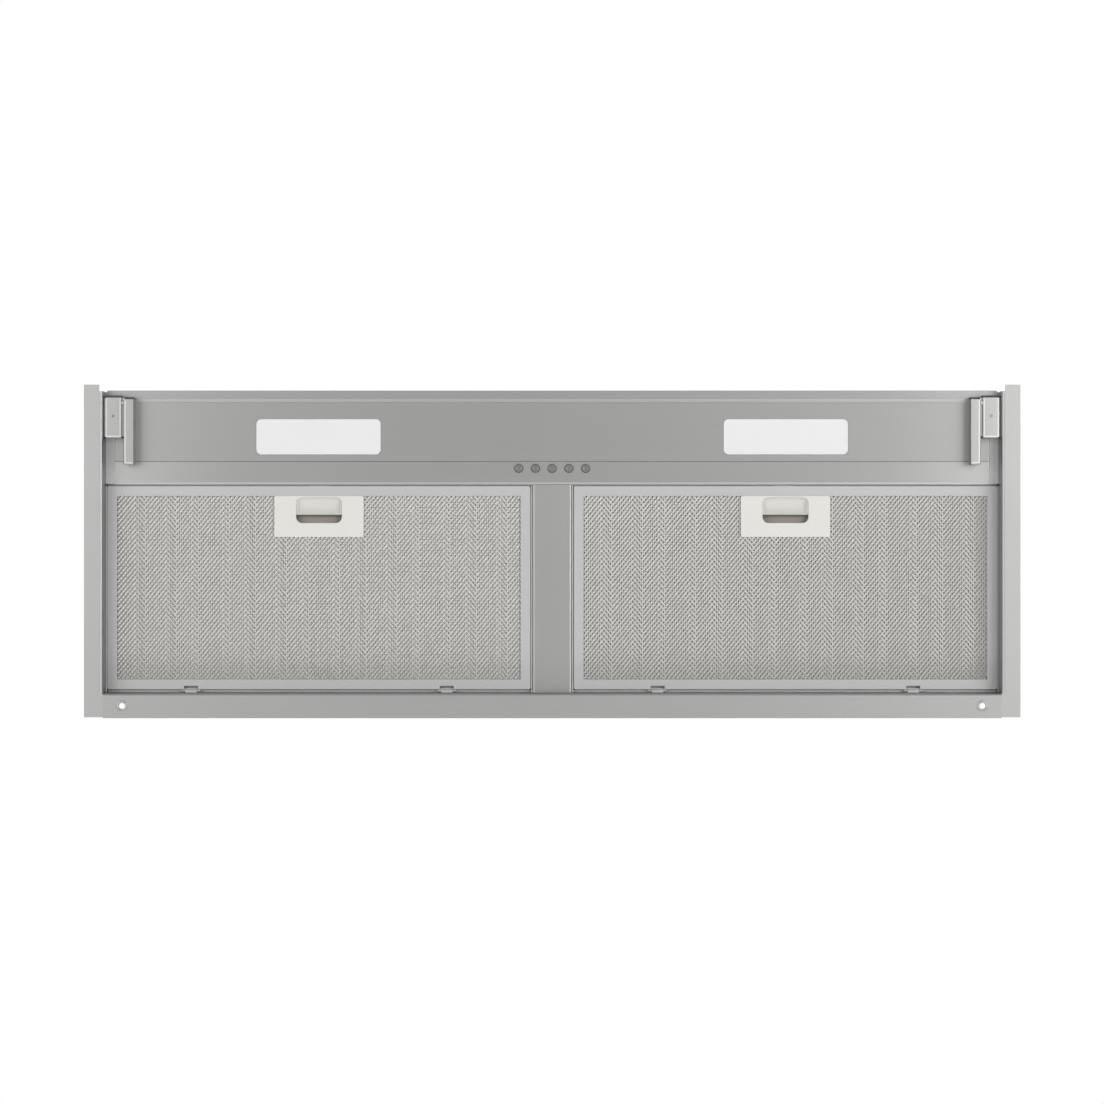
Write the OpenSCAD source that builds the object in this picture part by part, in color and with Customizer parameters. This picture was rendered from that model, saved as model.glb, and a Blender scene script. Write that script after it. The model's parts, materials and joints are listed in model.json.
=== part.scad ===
// Built-in range hood: a folded steel tray with two grease filters, a blower casing and a duct collar.
// Underside at z = 0 faces down to the hob, the front is -Y, the duct leaves upwards.

/* [Tray] */
// Overall width over the side flanges
hood_w = 800; // [760:10:900]
// Overall depth over the flanges
hood_d = 285; // [281:1:295]
// Height of the tray walls
tray_h = 62; // [58:1:80]
// Thickness of the folded sheet
sheet_t = 1; // [0.8:0.1:1.2]
// Outer radius of a folded edge
bend_r = 2.5; // [2:0.5:3]
// Flange width at each side, from the outer edge to the tray wall
side_flange_w = 16; // [14:1:20]
// Flange width at the rear
rear_flange_w = 21.1; // [18:0.1:24]
// How far the side rails run past the tray front
rail_lead = 5.5; // [3:0.5:8]
// Width of the side rail ahead of the tray front
rail_lead_w = 13; // [8:1:13]
// Radius of a screw hole in the rear flange
flange_hole_r = 2.6; // [2:0.1:3.5]
// Distance of a rear screw hole from the tray side wall
flange_hole_inset = 16.5; // [12:0.5:30]

/* [Front panel] */
// How far the panel and the filters sit above the flange
recess_h = 20; // [18:1:26]
// Radius of the rounded front and side edges of the panel
lip_r = 9; // [6:0.5:11]
// Height of the upturned panel edges
return_h = 14; // [12:0.5:18]
// Depth of the lamp panel, front edge to crease
lamp_panel_d = 59.4; // [59:0.1:64]
// Depth of the control strip, crease to rear edge
control_d = 20.1; // [18:0.1:22]
// Radius of the rear edge of the control strip
hem_r = 2.2; // [1.8:0.1:3]
// Width of the lap that joins the control strip to the lamp panel
lap_d = 3.4; // [2.5:0.1:4]

/* [Lamps] */
// Lamp lens width
lamp_w = 107; // [80:1:120]
// Lamp lens depth
lamp_d = 30.3; // [24:0.1:30.5]
// Lamp lens corner radius
lamp_r = 4.2; // [2:0.2:8]
// Distance of a lamp centre from the middle of the hood
lamp_x = 201; // [150:1:230]
// Distance of a lamp centre from the tray front
lamp_y = 38.4; // [36:0.1:38.5]
// Height of the lamp housing
lamp_housing_h = 24; // [18:1:30]
// Wall of the lamp housing
lamp_wall = 1.2; // [0.8:0.1:1.2]

/* [Buttons] */
// Radius of a push button
button_r = 3.5; // [3:0.1:4.5]
// Distance between neighbouring buttons
button_pitch = 14.4; // [13:0.1:18]
// How far a button stands out of the strip
button_out = 2.2; // [1.6:0.1:3]
// Button travel
button_travel = 1.5; // [1:0.1:1.5]
// Distance of the button row behind the crease
button_y = 6.2; // [6.1:0.1:8]
// Radius of a button stem
stem_r = 1.8; // [1.5:0.1:2.2]

/* [Filters] */
// Width of the centre mullion
mullion_w = 34.8; // [26:0.2:44]
// Room between a filter and the tray rear wall, for the pivot curls
filter_room = 2.8; // [2.6:0.1:5]
// Thickness of a filter
filter_t = 8; // [7.6:0.2:9]
// Visible width of a filter frame
filter_rim = 8.4; // [7:0.2:11]
// Sheet thickness of a filter frame
filter_sheet = 0.8; // [0.6:0.1:1]
// Gap around a filter
filter_gap = 1.3; // [1:0.1:1.6]
// Columns of openings in a filter net
net_columns = 12; // [8:1:12]
// Rows of openings in a filter net
net_rows = 6; // [4:1:6]
// Width of a strand of the filter net
strand_w = 3.2; // [2.4:0.1:4]

/* [Filter handles] */
// Handle plate width
handle_w = 77; // [70:1:90]
// Handle plate depth
handle_d = 35.5; // [34:0.5:44]
// Width of the finger recess
grip_w = 39.2; // [34:0.2:44]
// Depth of the finger recess
grip_d = 21.7; // [20:0.1:24]
// Corner radius of the finger recess
grip_r = 5; // [3:0.5:7]
// Latch travel
latch_travel = 5; // [4:0.1:5]
// Width of the latch nose
nose_w = 18; // [10:1:22]
// Thickness of the latch nose
nose_t = 3; // [2.4:0.1:3]
// How far the latch nose reaches past the filter edge
nose_out = 4.3; // [3.6:0.1:4.6]
// Wire radius of a latch spring
spring_wire_r = 0.35; // [0.25:0.05:0.45]
// Mean radius of a latch spring
spring_r = 1.5; // [1.2:0.1:1.8]
// Curls of a latch spring
spring_curls = 5; // [3:1:5]

/* [Corner brackets] */
// Width of the outer tab
tab_w = 14; // [12:0.5:16]
// Length of the outer tab
tab_l = 34; // [26:1:40]
// Width of the inner channel
channel_w = 8; // [6:0.5:10]
// Length of the inner channel
channel_l = 55; // [44:1:56]
// Slot between tab and channel
bracket_slot = 2; // [1.5:0.1:3]
// How far a bracket stands out of the panel
bracket_h = 16; // [10:0.5:17]
// Radius of the screw hole in the tab
tab_hole_r = 1.4; // [1:0.1:2]

/* [Casing] */
// Width of the blower casing
casing_w = 340; // [310:5:400]
// Depth of the blower casing
casing_d = 236; // [230:1:240]
// Height of the blower casing
casing_h = 190; // [186:1:230]
// Width of the casing's foot flange
foot_w = 12; // [10:1:16]
// Radius of a screw head
screw_r = 3.5; // [3:0.1:4]
// Height of a screw head
screw_h = 2; // [1.5:0.1:2.5]

/* [Blower] */
// Radius of the fan wheel
fan_r = 64; // [58:1:66]
// Radius inside the blades
fan_inner_r = 51; // [46:1:53]
// Width of the fan wheel
fan_w = 96; // [80:2:100]
// Number of blades
fan_blades = 36; // [24:1:40]
// Blade thickness
blade_t = 1; // [0.8:0.1:1.2]
// Radius of the motor shaft
shaft_r = 4; // [3:0.5:5]
// Width between the scroll side plates
scroll_w = 116; // [112:2:124]
// Sheet thickness of the scroll
scroll_t = 1.2; // [1:0.1:1.6]
// Scroll radius at the tongue
tongue_r = 70; // [68:0.5:72]
// Scroll radius at the outlet
outlet_r = 97; // [92:1:98]
// Radius of an inlet
inlet_r = 52; // [48:1:55]
// Height of the fan axis above the deck
fan_lift = 92; // [91:1:98]
// Distance of the fan axis from the tray rear wall
fan_back = 151.4; // [149:0.2:151.4]
// Radius of the motor
motor_r = 40; // [32:1:41]
// Length of the motor
motor_l = 84; // [70:2:88]

/* [Duct collar] */
// Outer radius of the duct collar
collar_r = 75; // [70:0.5:76]
// Height of the duct collar
collar_h = 40; // [34:1:60]
// Wall of the duct collar
collar_t = 1.8; // [1.4:0.1:2.4]
// Width of the collar's base flange
collar_flange = 13; // [10:1:16]
// Height of the flap pin above the collar base
pin_lift = 14; // [12:1:18]
// Radius of the flap pin
pin_r = 2; // [1.5:0.1:2.5]

/* [Hidden] */
$fn = 48;

// Clearance between pieces that pass each other
gap = 0.3;
// Overrun of a cutting tool past the face that it opens
cut = 1;

// Tray
half_w = hood_w / 2;
rail_front = -hood_d / 2;
rear_edge = hood_d / 2;
tray_x = half_w - side_flange_w;
tray_front = rail_front + rail_lead;
tray_rear = rear_edge - rear_flange_w;
deck_top = tray_h + sheet_t;
rail_setback = 0.8;
flange_hole_x = tray_x - flange_hole_inset;
flange_hole_y = tray_rear + rear_flange_w / 2;

// Front panel and control strip
panel_x = tray_x - gap;
panel_top = recess_h + sheet_t;
crease_y = tray_front + lamp_panel_d;
crease_gap = 0.4;
strip_front = crease_y + crease_gap;
strip_rear = crease_y + control_d;

// Lamps
lamp_cy = tray_front + lamp_y;
lens_lip = 0.9;
lens_lip_t = 1.2;
lens_out = 0.4;
lens_fit = 0.1;
led_count = 6;
led_w = 3;
housing_w = lamp_w + 2 * (lens_lip + lens_fit + lamp_wall);
housing_d = lamp_d + 2 * (lens_lip + lens_fit + lamp_wall);
housing_top = panel_top + lamp_housing_h;

// Buttons
button_cy = crease_y + button_y;
button_flange_t = 1;
button_flange_z = panel_top + gap;
block_z = button_flange_z + button_flange_t + button_travel + gap;
block_h = 10;
block_side = 7;
block_w = 4 * button_pitch + 2 * block_side;
block_d = 9;
stem_fit = 0.05;
board_t = 1.6;
board_w = 104;
board_d = 46;
relay_w = 15;
relay_h = 12;
coil_w = 24;
coil_d = 20;
coil_h = 16;
can_r = 5;
can_h = 13;

// Filters
filter_z = recess_h + 0.5;
filter_top = filter_z + filter_t;
filter_front = strip_rear + filter_gap;
filter_rear = tray_rear - filter_room;
filter_d = filter_rear - filter_front;
filter_x = (tray_x + mullion_w / 2) / 2;
filter_w = tray_x - mullion_w / 2 - 2 * filter_gap;
filter_cy = (filter_front + filter_rear) / 2;
window_w = filter_w - 2 * filter_rim;
window_d = filter_d - 2 * filter_rim;
net_w = window_w / net_columns;
net_h = window_d / net_rows;
curl_r = 1.2;
curl_w = 16;
curl_spread = 110;
pivot_y = tray_rear - gap - curl_r;
pivot_lift = 1.8;
pivot_z = filter_z + pivot_lift;
tongue_z = pivot_z + curl_r / 4;
cradle_t = 0.8;
cradle_w = 10;
cradle_lead = 0.6;
notch_d = 3;
net_hold = 4;

// Filter handles
handle_proud = 0.6;
handle_z = filter_z - handle_proud;
handle_front = filter_front + filter_rim;
handle_rear = handle_front + handle_d;
handle_skin = 1.6;
handle_back = 1.2;
grip_lead = 1.5;
grip_front = handle_front + grip_lead;
grip_rear = grip_front + grip_d;
latch_spare = 2.1;
latch_rear = grip_rear - latch_travel - latch_spare;
pocket_side = 5.5;
pocket_x = grip_w / 2 + pocket_side;
pocket_front = handle_front + 1;
pocket_rear = grip_rear + 2;
pocket_z = handle_z + handle_skin;
pocket_top = filter_top - handle_back;
nose_lift = 2.5;
nose_z = panel_top + nose_lift;
nose_tip = filter_front - nose_out;
spring_x = (grip_w / 2 + pocket_x) / 2;
spring_z = (pocket_z + pocket_top) / 2;

// Corner brackets
bracket_z = recess_h - bracket_h;
bracket_inset = 5.6;
bracket_play = 1.4;
bracket_front = tray_front + bracket_inset;
bracket_x = tray_x - bracket_play;
bracket_bend_r = 1.6;

// Casing
casing_x = casing_w / 2;
casing_rear_y = tray_rear + sheet_t;
casing_front_y = casing_rear_y - casing_d;
casing_top_z = deck_top + casing_h;
deck_margin = 20;
base_z = casing_top_z + sheet_t;

// Blower
fan_y = tray_rear - fan_back;
fan_z = deck_top + fan_lift;
tongue_angle = 70;
spiral_step = 10;
scroll_flange = 6;
throat_in = fan_y + tongue_r * cos(tongue_angle);
throat_out = fan_y + outlet_r;
disc_t = 1.6;
hub_r = 10;
hub_l = 22;
hub_room = 3;
motor_front = -hub_l / 2 - hub_room;
motor_rear = motor_front - motor_l;
bell_share = 0.22;
bell = motor_l * bell_share;
shaft_fit = 0.05;
arms = 3;
arm_turn = 30;
arm_t = 2.4;
foot_rise = 14;
foot_r = inlet_r + foot_rise;
foot_l = 8;

// Duct collar
collar_y = (throat_in + throat_out) / 2;
collar_in = collar_r - collar_t;
pin_z = base_z + pin_lift;
flap_t = 1.2;
flap_ledge = 5;
pin_fit = 0.02;
sleeve_wall = 1.6;
sleeve_r = pin_r + sleeve_wall;
sleeve_fit = 0.05;

// Terminal box
box_w = 60;
box_d = 44;
box_h = 24;
box_r = 3;
lid_h = 3;
lid_out = 2;
box_inset = 18;
box_x = casing_x - box_w / 2 - box_inset;
box_y = casing_front_y + box_d / 2 + box_inset;

// A flat shape drawn in Y and Z, pulled along X
module along_x(from, to) {
    translate([from, 0, 0]) rotate([90, 0, 90]) linear_extrude(to - from) children();
}

// A flat shape drawn in X and Z, pulled along Y
module along_y(from, to) {
    translate([0, to, 0]) rotate([90, 0, 0]) linear_extrude(to - from) children();
}

// A flat shape drawn in X and Y, pulled along Z
module along_z(from, to) {
    translate([0, 0, from]) linear_extrude(to - from) children();
}

// A box between two corners
module block(low, high) {
    translate(low) cube(high - low);
}

// A copy on the right of a piece that is drawn for the left
module on_side(side) {
    if (side < 0) children();
    else mirror([1, 0, 0]) children();
}

// A rounded rectangle about the origin
module rounded_rect(w, d, r) {
    square([w - 2 * r, d], center = true);
    square([w, d - 2 * r], center = true);
    for (x = [-1, 1], y = [-1, 1]) translate([x * (w / 2 - r), y * (d / 2 - r)]) circle(r);
}

// Section of a folded sheet: a flat leg along x and an upright leg along y, joined by a bend
module fold_section(flat, upright, t, r) {
    translate([r, 0]) square([flat - r, t]);
    translate([0, r]) square([t, upright - r]);
    intersection() {
        square(r);
        translate([r, r]) difference() {
            circle(r);
            circle(r - t);
        }
    }
}

// A rectangle from the origin with its lower corner at x = 0 rounded
module lip_section(w, h, r) {
    translate([r, 0]) square([w - r, h]);
    translate([0, r]) square([w, h - r]);
    intersection() {
        square(r);
        translate([r, r]) circle(r);
    }
}

// A rectangle on y = 0, centred in x, with both lower corners rounded
module pan_section(w, h, r) {
    translate([-w / 2, 0]) lip_section(w / 2, h, r);
    translate([w / 2, 0]) mirror([1, 0]) lip_section(w / 2, h, r);
}

// The wall of a pan section
module pan_shell(w, h, t, r) {
    difference() {
        pan_section(w, h, r);
        translate([0, t]) pan_section(w - 2 * t, h, r - t);
    }
}

// Side rail: flange, bend and tray wall in one folded sheet
module side_rail(side) {
    color("silver") on_side(side) {
        along_y(tray_front, tray_rear + sheet_t) translate([-tray_x, 0]) mirror([1, 0])
            fold_section(side_flange_w, tray_h, sheet_t, bend_r);
        block([-half_w, rail_front, 0], [-half_w + rail_lead_w, tray_front + cut, sheet_t]);
        block([-half_w, tray_rear, 0], [-tray_x, rear_edge - rail_setback, sheet_t]);
    }
}

// Rear rail: flange with two screw holes, tray wall and the cradles that carry the filter curls
module rear_rail() {
    color("silver") difference() {
        union() {
            along_x(-tray_x, tray_x) translate([tray_rear, 0])
                fold_section(rear_flange_w, tray_h, sheet_t, bend_r);
            for (side = [-1, 1], curl = [-1, 1])
                translate([side * filter_x + curl * curl_spread, 0, 0])
                    block([-cradle_w / 2, pivot_y - cradle_lead, pivot_z - curl_r - gap - cradle_t],
                          [cradle_w / 2, tray_rear + sheet_t / 2, pivot_z - curl_r - gap]);
        }
        for (side = [-1, 1]) translate([side * flange_hole_x, flange_hole_y, -cut])
            cylinder(r = flange_hole_r, h = sheet_t + 2 * cut);
    }
}

// Solid form of the pressed front panel, shrunk on all sides by an inset
module panel_form(inset) {
    w = 2 * (panel_x - inset);
    r = lip_r - inset;
    intersection() {
        along_x(-panel_x, panel_x) translate([tray_front + inset, recess_h + inset])
            lip_section(lamp_panel_d + cut, return_h, r);
        along_y(tray_front, crease_y + inset) translate([0, recess_h + inset])
            pan_section(w, return_h, r);
    }
}

// Front panel: lamp panel with rounded front and side edges, and the tray front wall above it
module front_panel() {
    color("silver") difference() {
        union() {
            difference() {
                panel_form(0);
                panel_form(sheet_t);
            }
            block([-panel_x, tray_front, recess_h + lip_r],
                  [panel_x, tray_front + sheet_t, tray_h]);
        }
        for (side = [-1, 1]) translate([side * lamp_x, lamp_cy, recess_h - cut])
            linear_extrude(sheet_t + 2 * cut)
                rounded_rect(lamp_w + 2 * gap, lamp_d + 2 * gap, lamp_r + gap);
    }
}

// Solid form of the control strip, shrunk on all sides by an inset
module strip_form(inset) {
    intersection() {
        along_x(-panel_x, panel_x) translate([strip_rear - inset, recess_h + inset]) mirror([1, 0])
            lip_section(strip_rear - strip_front + cut, return_h, hem_r - inset);
        along_y(strip_front - inset, strip_rear) translate([0, recess_h + inset])
            pan_section(2 * (panel_x - inset), return_h, lip_r - inset);
    }
}

// Control strip with button holes, latch slots and the lap that carries it on the lamp panel
module control_strip() {
    color("silver") difference() {
        union() {
            difference() {
                strip_form(0);
                strip_form(sheet_t);
            }
            block([-panel_x + lip_r, crease_y - lap_d, panel_top],
                  [panel_x - lip_r, strip_front + sheet_t, panel_top + sheet_t]);
        }
        for (i = [-2:2]) translate([i * button_pitch, button_cy, recess_h - cut])
            cylinder(r = button_r + gap, h = sheet_t + 2 * cut);
        for (side = [-1, 1]) block(
            [side * filter_x - nose_w / 2 - gap, strip_rear - sheet_t - cut, nose_z - gap],
            [side * filter_x + nose_w / 2 + gap, strip_rear + cut, nose_z + nose_t + 2 * gap]);
    }
}

// Channel between the filters, carried by the control strip and the rear rail
module centre_mullion() {
    color("silver") along_y(strip_rear, tray_rear) translate([0, recess_h])
        pan_shell(mullion_w, return_h, sheet_t, bend_r);
}

// Sheet over the tray with the opening into the blower casing
module deck_plate() {
    color("gainsboro") difference() {
        block([-tray_x - sheet_t, tray_front, tray_h], [tray_x + sheet_t, casing_rear_y, deck_top]);
        translate([0, (casing_front_y + casing_rear_y) / 2, tray_h - cut])
            linear_extrude(sheet_t + 2 * cut)
                rounded_rect(casing_w - 2 * deck_margin, casing_d - 2 * deck_margin, lip_r);
    }
}

// A folded channel of a corner bracket, closed at its rear end
module bracket_channel(w, l) {
    along_y(0, l) pan_shell(w, bracket_h, sheet_t, bracket_bend_r);
    along_y(l - sheet_t, l) pan_section(w, bracket_h, bracket_bend_r);
}

// Corner bracket for the furniture front: outer tab and inner channel joined by a bridge
module trim_bracket(side) {
    bridge_y = 2;
    bridge_w = 3;
    color("gainsboro") on_side(side) translate([-bracket_x, bracket_front, bracket_z]) difference() {
        union() {
            translate([tab_w / 2, 0, 0]) bracket_channel(tab_w, tab_l);
            translate([tab_w + bracket_slot + channel_w / 2, 0, 0])
                bracket_channel(channel_w, channel_l);
            block([tab_w - sheet_t / 2, bridge_y, bracket_bend_r],
                  [tab_w + bracket_slot + sheet_t / 2, bridge_y + bridge_w, bracket_bend_r + sheet_t]);
        }
        translate([tab_w / 2, tab_l * 0.45, -cut]) cylinder(r = tab_hole_r, h = sheet_t + 2 * cut);
    }
}

// Lamp lens: a rounded window with a lip that rests on the panel
module lamp_lens(side) {
    color("white") translate([side * lamp_x, lamp_cy, 0]) {
        along_z(recess_h - lens_out, panel_top + lens_lip_t) rounded_rect(lamp_w, lamp_d, lamp_r);
        along_z(panel_top, panel_top + lens_lip_t)
            rounded_rect(lamp_w + 2 * lens_lip, lamp_d + 2 * lens_lip, lamp_r + lens_lip);
    }
}

// Lamp housing: a box over the lens, open below, with cooling slots in its roof
module lamp_housing(side) {
    slots = 5;
    slot_w = 6;
    pitch = housing_w / (slots + 1);
    color("gainsboro") translate([side * lamp_x, lamp_cy, 0]) difference() {
        along_z(panel_top, housing_top) rounded_rect(housing_w, housing_d, lamp_r);
        along_z(panel_top - cut, housing_top - lamp_wall)
            rounded_rect(housing_w - 2 * lamp_wall, housing_d - 2 * lamp_wall, lamp_r - lamp_wall);
        for (i = [0:slots - 1]) translate([(i - (slots - 1) / 2) * pitch, 0, 0])
            along_z(housing_top - lamp_wall - cut, housing_top + cut)
                rounded_rect(slot_w, housing_d * 0.6, slot_w / 3);
    }
}

// Board with a row of LEDs under the roof of a lamp housing
module led_board(side) {
    top = housing_top - lamp_wall;
    margin = 5;
    w = lamp_w - 2 * margin;
    color("ivory") translate([side * lamp_x, lamp_cy, 0]) {
        along_z(top - board_t, top) square([w, lamp_d - 2 * margin], center = true);
        for (i = [0:led_count - 1]) translate([(i - (led_count - 1) / 2) * w / led_count, 0, 0])
            along_z(top - board_t - led_w / 3, top - board_t) square(led_w, center = true);
    }
}

// LED driver: a small case on the lamp panel with two screw ears
module led_driver() {
    w = 56;
    d = 26;
    h = 18;
    ear = 12;
    ear_t = 2;
    ear_hole_r = 1.6;
    room = 3;
    color("white") translate([lamp_x - housing_w / 2 - w / 2 - ear - room, lamp_cy, panel_top]) {
        along_z(0, h) rounded_rect(w, d, 2);
        for (side = [-1, 1]) translate([side * (w + ear) / 2, 0, 0]) difference() {
            along_z(0, ear_t) rounded_rect(ear + 2, ear, 3);
            translate([0, 0, -cut]) cylinder(r = ear_hole_r, h = ear_t + 2 * cut);
        }
    }
}

// Push button: domed cap, flange that keeps it in the strip, and the stem into the switch block
module push_button(place) {
    chamfer = 0.6;
    flange_r = button_r + 3 * gap;
    stem_top = block_z + block_h / 2;
    color("gainsboro") translate([place * button_pitch, button_cy, 0]) rotate_extrude() polygon([
        [0, recess_h - button_out],
        [button_r - chamfer, recess_h - button_out],
        [button_r, recess_h - button_out + chamfer],
        [button_r, button_flange_z],
        [flange_r, button_flange_z],
        [flange_r, button_flange_z + button_flange_t],
        [stem_r, button_flange_z + button_flange_t],
        [stem_r, stem_top],
        [0, stem_top]
    ]);
}

// Switch block over the buttons, standing on the control strip on two legs
module switch_block() {
    leg = 2;
    color("dimgray") translate([0, button_cy, 0]) difference() {
        union() {
            block([-block_w / 2, -block_d / 2, block_z], [block_w / 2, block_d / 2, block_z + block_h]);
            for (side = [-1, 1]) translate([side * (block_w - leg) / 2, 0, 0])
                block([-leg / 2, -block_d / 2, panel_top], [leg / 2, block_d / 2, block_z + cut]);
        }
        for (i = [-2:2]) translate([i * button_pitch, 0, block_z - cut])
            cylinder(r = stem_r + stem_fit, h = block_h / 2 + button_travel + gap + cut);
    }
}

// Control board on the switch block, with relays, a transformer and two capacitors
module control_board() {
    color("darkgreen") translate([0, button_cy + block_d / 2 - board_d, block_z + block_h]) {
        block([-board_w / 2, 0, 0], [board_w / 2, board_d, board_t]);
        translate([0, 0, board_t]) {
            for (i = [0, 1]) translate([-board_w * 0.42 + i * relay_w * 1.3, board_d * 0.56, 0])
                block([0, 0, 0], [relay_w, relay_h, relay_h]);
            translate([board_w * 0.1, board_d * 0.13, 0]) block([0, 0, 0], [coil_w, coil_d, coil_h]);
            for (i = [0, 1]) translate([-board_w * 0.3 + i * can_r * 3.2, board_d * 0.26, 0])
                cylinder(r = can_r, h = can_h);
        }
    }
}

// Filter frame: a C-section around the mesh, with a slot for the latch, notches that clear the
// cradles as it swings, and two pivot curls on tongues
module filter_frame(side) {
    color("silver") translate([side * filter_x, filter_cy, 0]) {
        difference() {
            along_z(filter_z, filter_top) rounded_rect(filter_w, filter_d, 1.5);
            along_z(filter_z - cut, filter_top + cut) square([window_w, window_d], center = true);
            along_z(filter_z + filter_sheet, filter_top - filter_sheet)
                square([filter_w - 2 * filter_sheet, filter_d - 2 * filter_sheet], center = true);
            block([-nose_w / 2 - gap, -filter_d / 2 - cut, nose_z - gap],
                  [nose_w / 2 + gap, -window_d / 2 + cut, nose_z + nose_t + gap]);
            for (curl = [-1, 1]) translate([curl * curl_spread, 0, 0])
                block([-cradle_w / 2 - cut, filter_d / 2 - notch_d, filter_z - cut],
                      [cradle_w / 2 + cut, filter_d / 2 + cut, tongue_z]);
        }
        for (curl = [-1, 1]) translate([curl * curl_spread, 0, 0]) {
            along_x(-curl_w / 2, curl_w / 2) translate([pivot_y - filter_cy, pivot_z]) circle(curl_r);
            block([-curl_w / 2, filter_d / 2 - filter_sheet, tongue_z],
                  [curl_w / 2, pivot_y - filter_cy, tongue_z + filter_sheet]);
        }
    }
}

// True where an opening of the net stays clear of the handle
function net_clear(x, y) = abs(x) > handle_w / 2 + net_w / 2 || y > handle_rear - filter_cy + net_h / 2;

// Filter mesh: expanded metal with diamond openings, held in the frame's groove
module filter_mesh(side) {
    fit = 0.1;
    w = window_w + 2 * net_hold;
    d = window_d + 2 * net_hold;
    shrink = 1 - strand_w * norm([net_w, net_h]) / (net_w * net_h);
    a = shrink * net_w / 2;
    b = shrink * net_h / 2;
    color("darkgray") translate([side * filter_x, filter_cy, 0])
        along_z(filter_z + filter_sheet, filter_top - filter_sheet) difference() {
            square([w, d], center = true);
            for (row = [0:2 * net_rows - 2], column = [0:net_columns - 1 - row % 2]) {
                x = (column - (net_columns - 1 - row % 2) / 2) * net_w;
                y = (row - net_rows + 1) * net_h / 2;
                if (net_clear(x, y)) translate([x, y]) polygon([[a, 0], [0, b], [-a, 0], [0, -b]]);
            }
            translate([-handle_w / 2 - fit, -d / 2 - cut])
                square([handle_w + 2 * fit, handle_rear + fit - filter_cy + d / 2 + cut]);
        }
}

// Handle plate: a housing with the finger recess and the pocket in which the latch slides
module handle(side) {
    color("ivory") translate([side * filter_x, 0, 0]) difference() {
        along_z(handle_z, filter_top) translate([0, (handle_front + handle_rear) / 2])
            rounded_rect(handle_w, handle_d, 1.2);
        along_z(handle_z - cut, pocket_z + cut) translate([0, (grip_front + grip_rear) / 2])
            rounded_rect(grip_w, grip_d, grip_r);
        block([-pocket_x, pocket_front, pocket_z], [pocket_x, pocket_rear, pocket_top]);
        block([-nose_w / 2 - gap, handle_front - cut, nose_z - gap],
              [nose_w / 2 + gap, pocket_front + cut, nose_z + nose_t + gap]);
    }
}

// Latch: a slider with a scooped finger paddle and a ramped nose that enters the control strip
module latch(side) {
    slide_fit = 0.2;
    low = pocket_z + slide_fit;
    front = pocket_front + gap;
    x = pocket_x - gap;
    scoop_depth = 3;
    scoop_half = (latch_rear - grip_front) / 2 - 0.8;
    scoop_r = (scoop_half * scoop_half + scoop_depth * scoop_depth) / (2 * scoop_depth);
    color("ivory") translate([side * filter_x, 0, 0]) difference() {
        union() {
            block([-x, front, low], [x, latch_rear, pocket_top - slide_fit]);
            along_x(-nose_w / 2, nose_w / 2) polygon([
                [nose_tip, nose_z],
                [front + cut, nose_z],
                [front + cut, nose_z + nose_t],
                [nose_tip + nose_t * 0.7, nose_z + nose_t]
            ]);
        }
        along_x(-grip_w / 2 + 1.4, grip_w / 2 - 1.4)
            translate([(latch_rear + grip_front) / 2, low - scoop_r + scoop_depth]) circle(scoop_r);
    }
}

// Points along a latch spring: a helix about the y axis with a straight run at each end
spring_len = pocket_rear - latch_rear - 0.1;
spring_lead = 2 * spring_wire_r;
curl_rings = 8;
spring_rings = spring_curls * curl_rings;
spring_path = [
    for (i = [-1:spring_rings + 1])
        let (k = min(max(i, 0), spring_rings), angle = 360 * k / curl_rings)
        [
            spring_r * cos(angle),
            (i < 0) ? 0 : (i > spring_rings) ? spring_len
                : spring_lead + (spring_len - 2 * spring_lead) * k / spring_rings,
            spring_r * sin(angle)
        ]
];

// Least gap between two stretches of wire that are more than half a curl apart
spring_gap = min([
    for (i = [0:len(spring_path) - 1], j = [i + curl_rings / 2 + 1:1:len(spring_path) - 1])
        norm(spring_path[i] - spring_path[j])
]) - 2 * spring_wire_r;
echo(least_spring_gap = spring_gap);

// Corners of the wire's ring at one point of a path
function wire_ring(path, i, r, sides) =
    let (
        ahead = path[min(i + 1, len(path) - 1)],
        behind = path[max(i - 1, 0)],
        t = (ahead - behind) / norm(ahead - behind),
        out = [path[i].x, 0, path[i].z],
        raw = cross(t, out),
        b = raw / norm(raw),
        n = cross(b, t)
    )
    [for (j = [0:sides - 1]) path[i] + r * (cos(360 * j / sides) * n + sin(360 * j / sides) * b)];

// A round wire along a path of points
module wire(path, r, sides = 6) {
    last = (len(path) - 1) * sides;
    points = [for (i = [0:len(path) - 1], corner = wire_ring(path, i, r, sides)) corner];
    walls = [
        for (i = [0:len(path) - 2], j = [0:sides - 1])
            let (a = i * sides + j, b = i * sides + (j + 1) % sides)
            each [[a, a + sides, b + sides], [a, b + sides, b]]
    ];
    ends = [for (j = [1:sides - 2]) each [[0, j, j + 1], [last, last + j + 1, last + j]]];
    polyhedron(points, concat(walls, ends));
}

// The two springs between a latch and the rear of its pocket
module latch_springs(side) {
    color("gray") for (x = [-1, 1])
        translate([side * filter_x + x * spring_x, latch_rear + 0.1, spring_z])
            wire(spring_path, spring_wire_r);
}

// Front wall of the casing with its foot on the deck
module casing_front() {
    color("gainsboro") along_x(-casing_x, casing_x) translate([casing_front_y + sheet_t, deck_top])
        mirror([1, 0]) fold_section(foot_w, casing_h, sheet_t, bend_r);
}

// Rear wall of the casing, in line with the rear rail, its foot turned inwards
module casing_rear() {
    color("gainsboro") along_x(-casing_x + sheet_t, casing_x - sheet_t)
        translate([casing_rear_y, deck_top]) mirror([1, 0])
            fold_section(foot_w, casing_h, sheet_t, bend_r);
}

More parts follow.
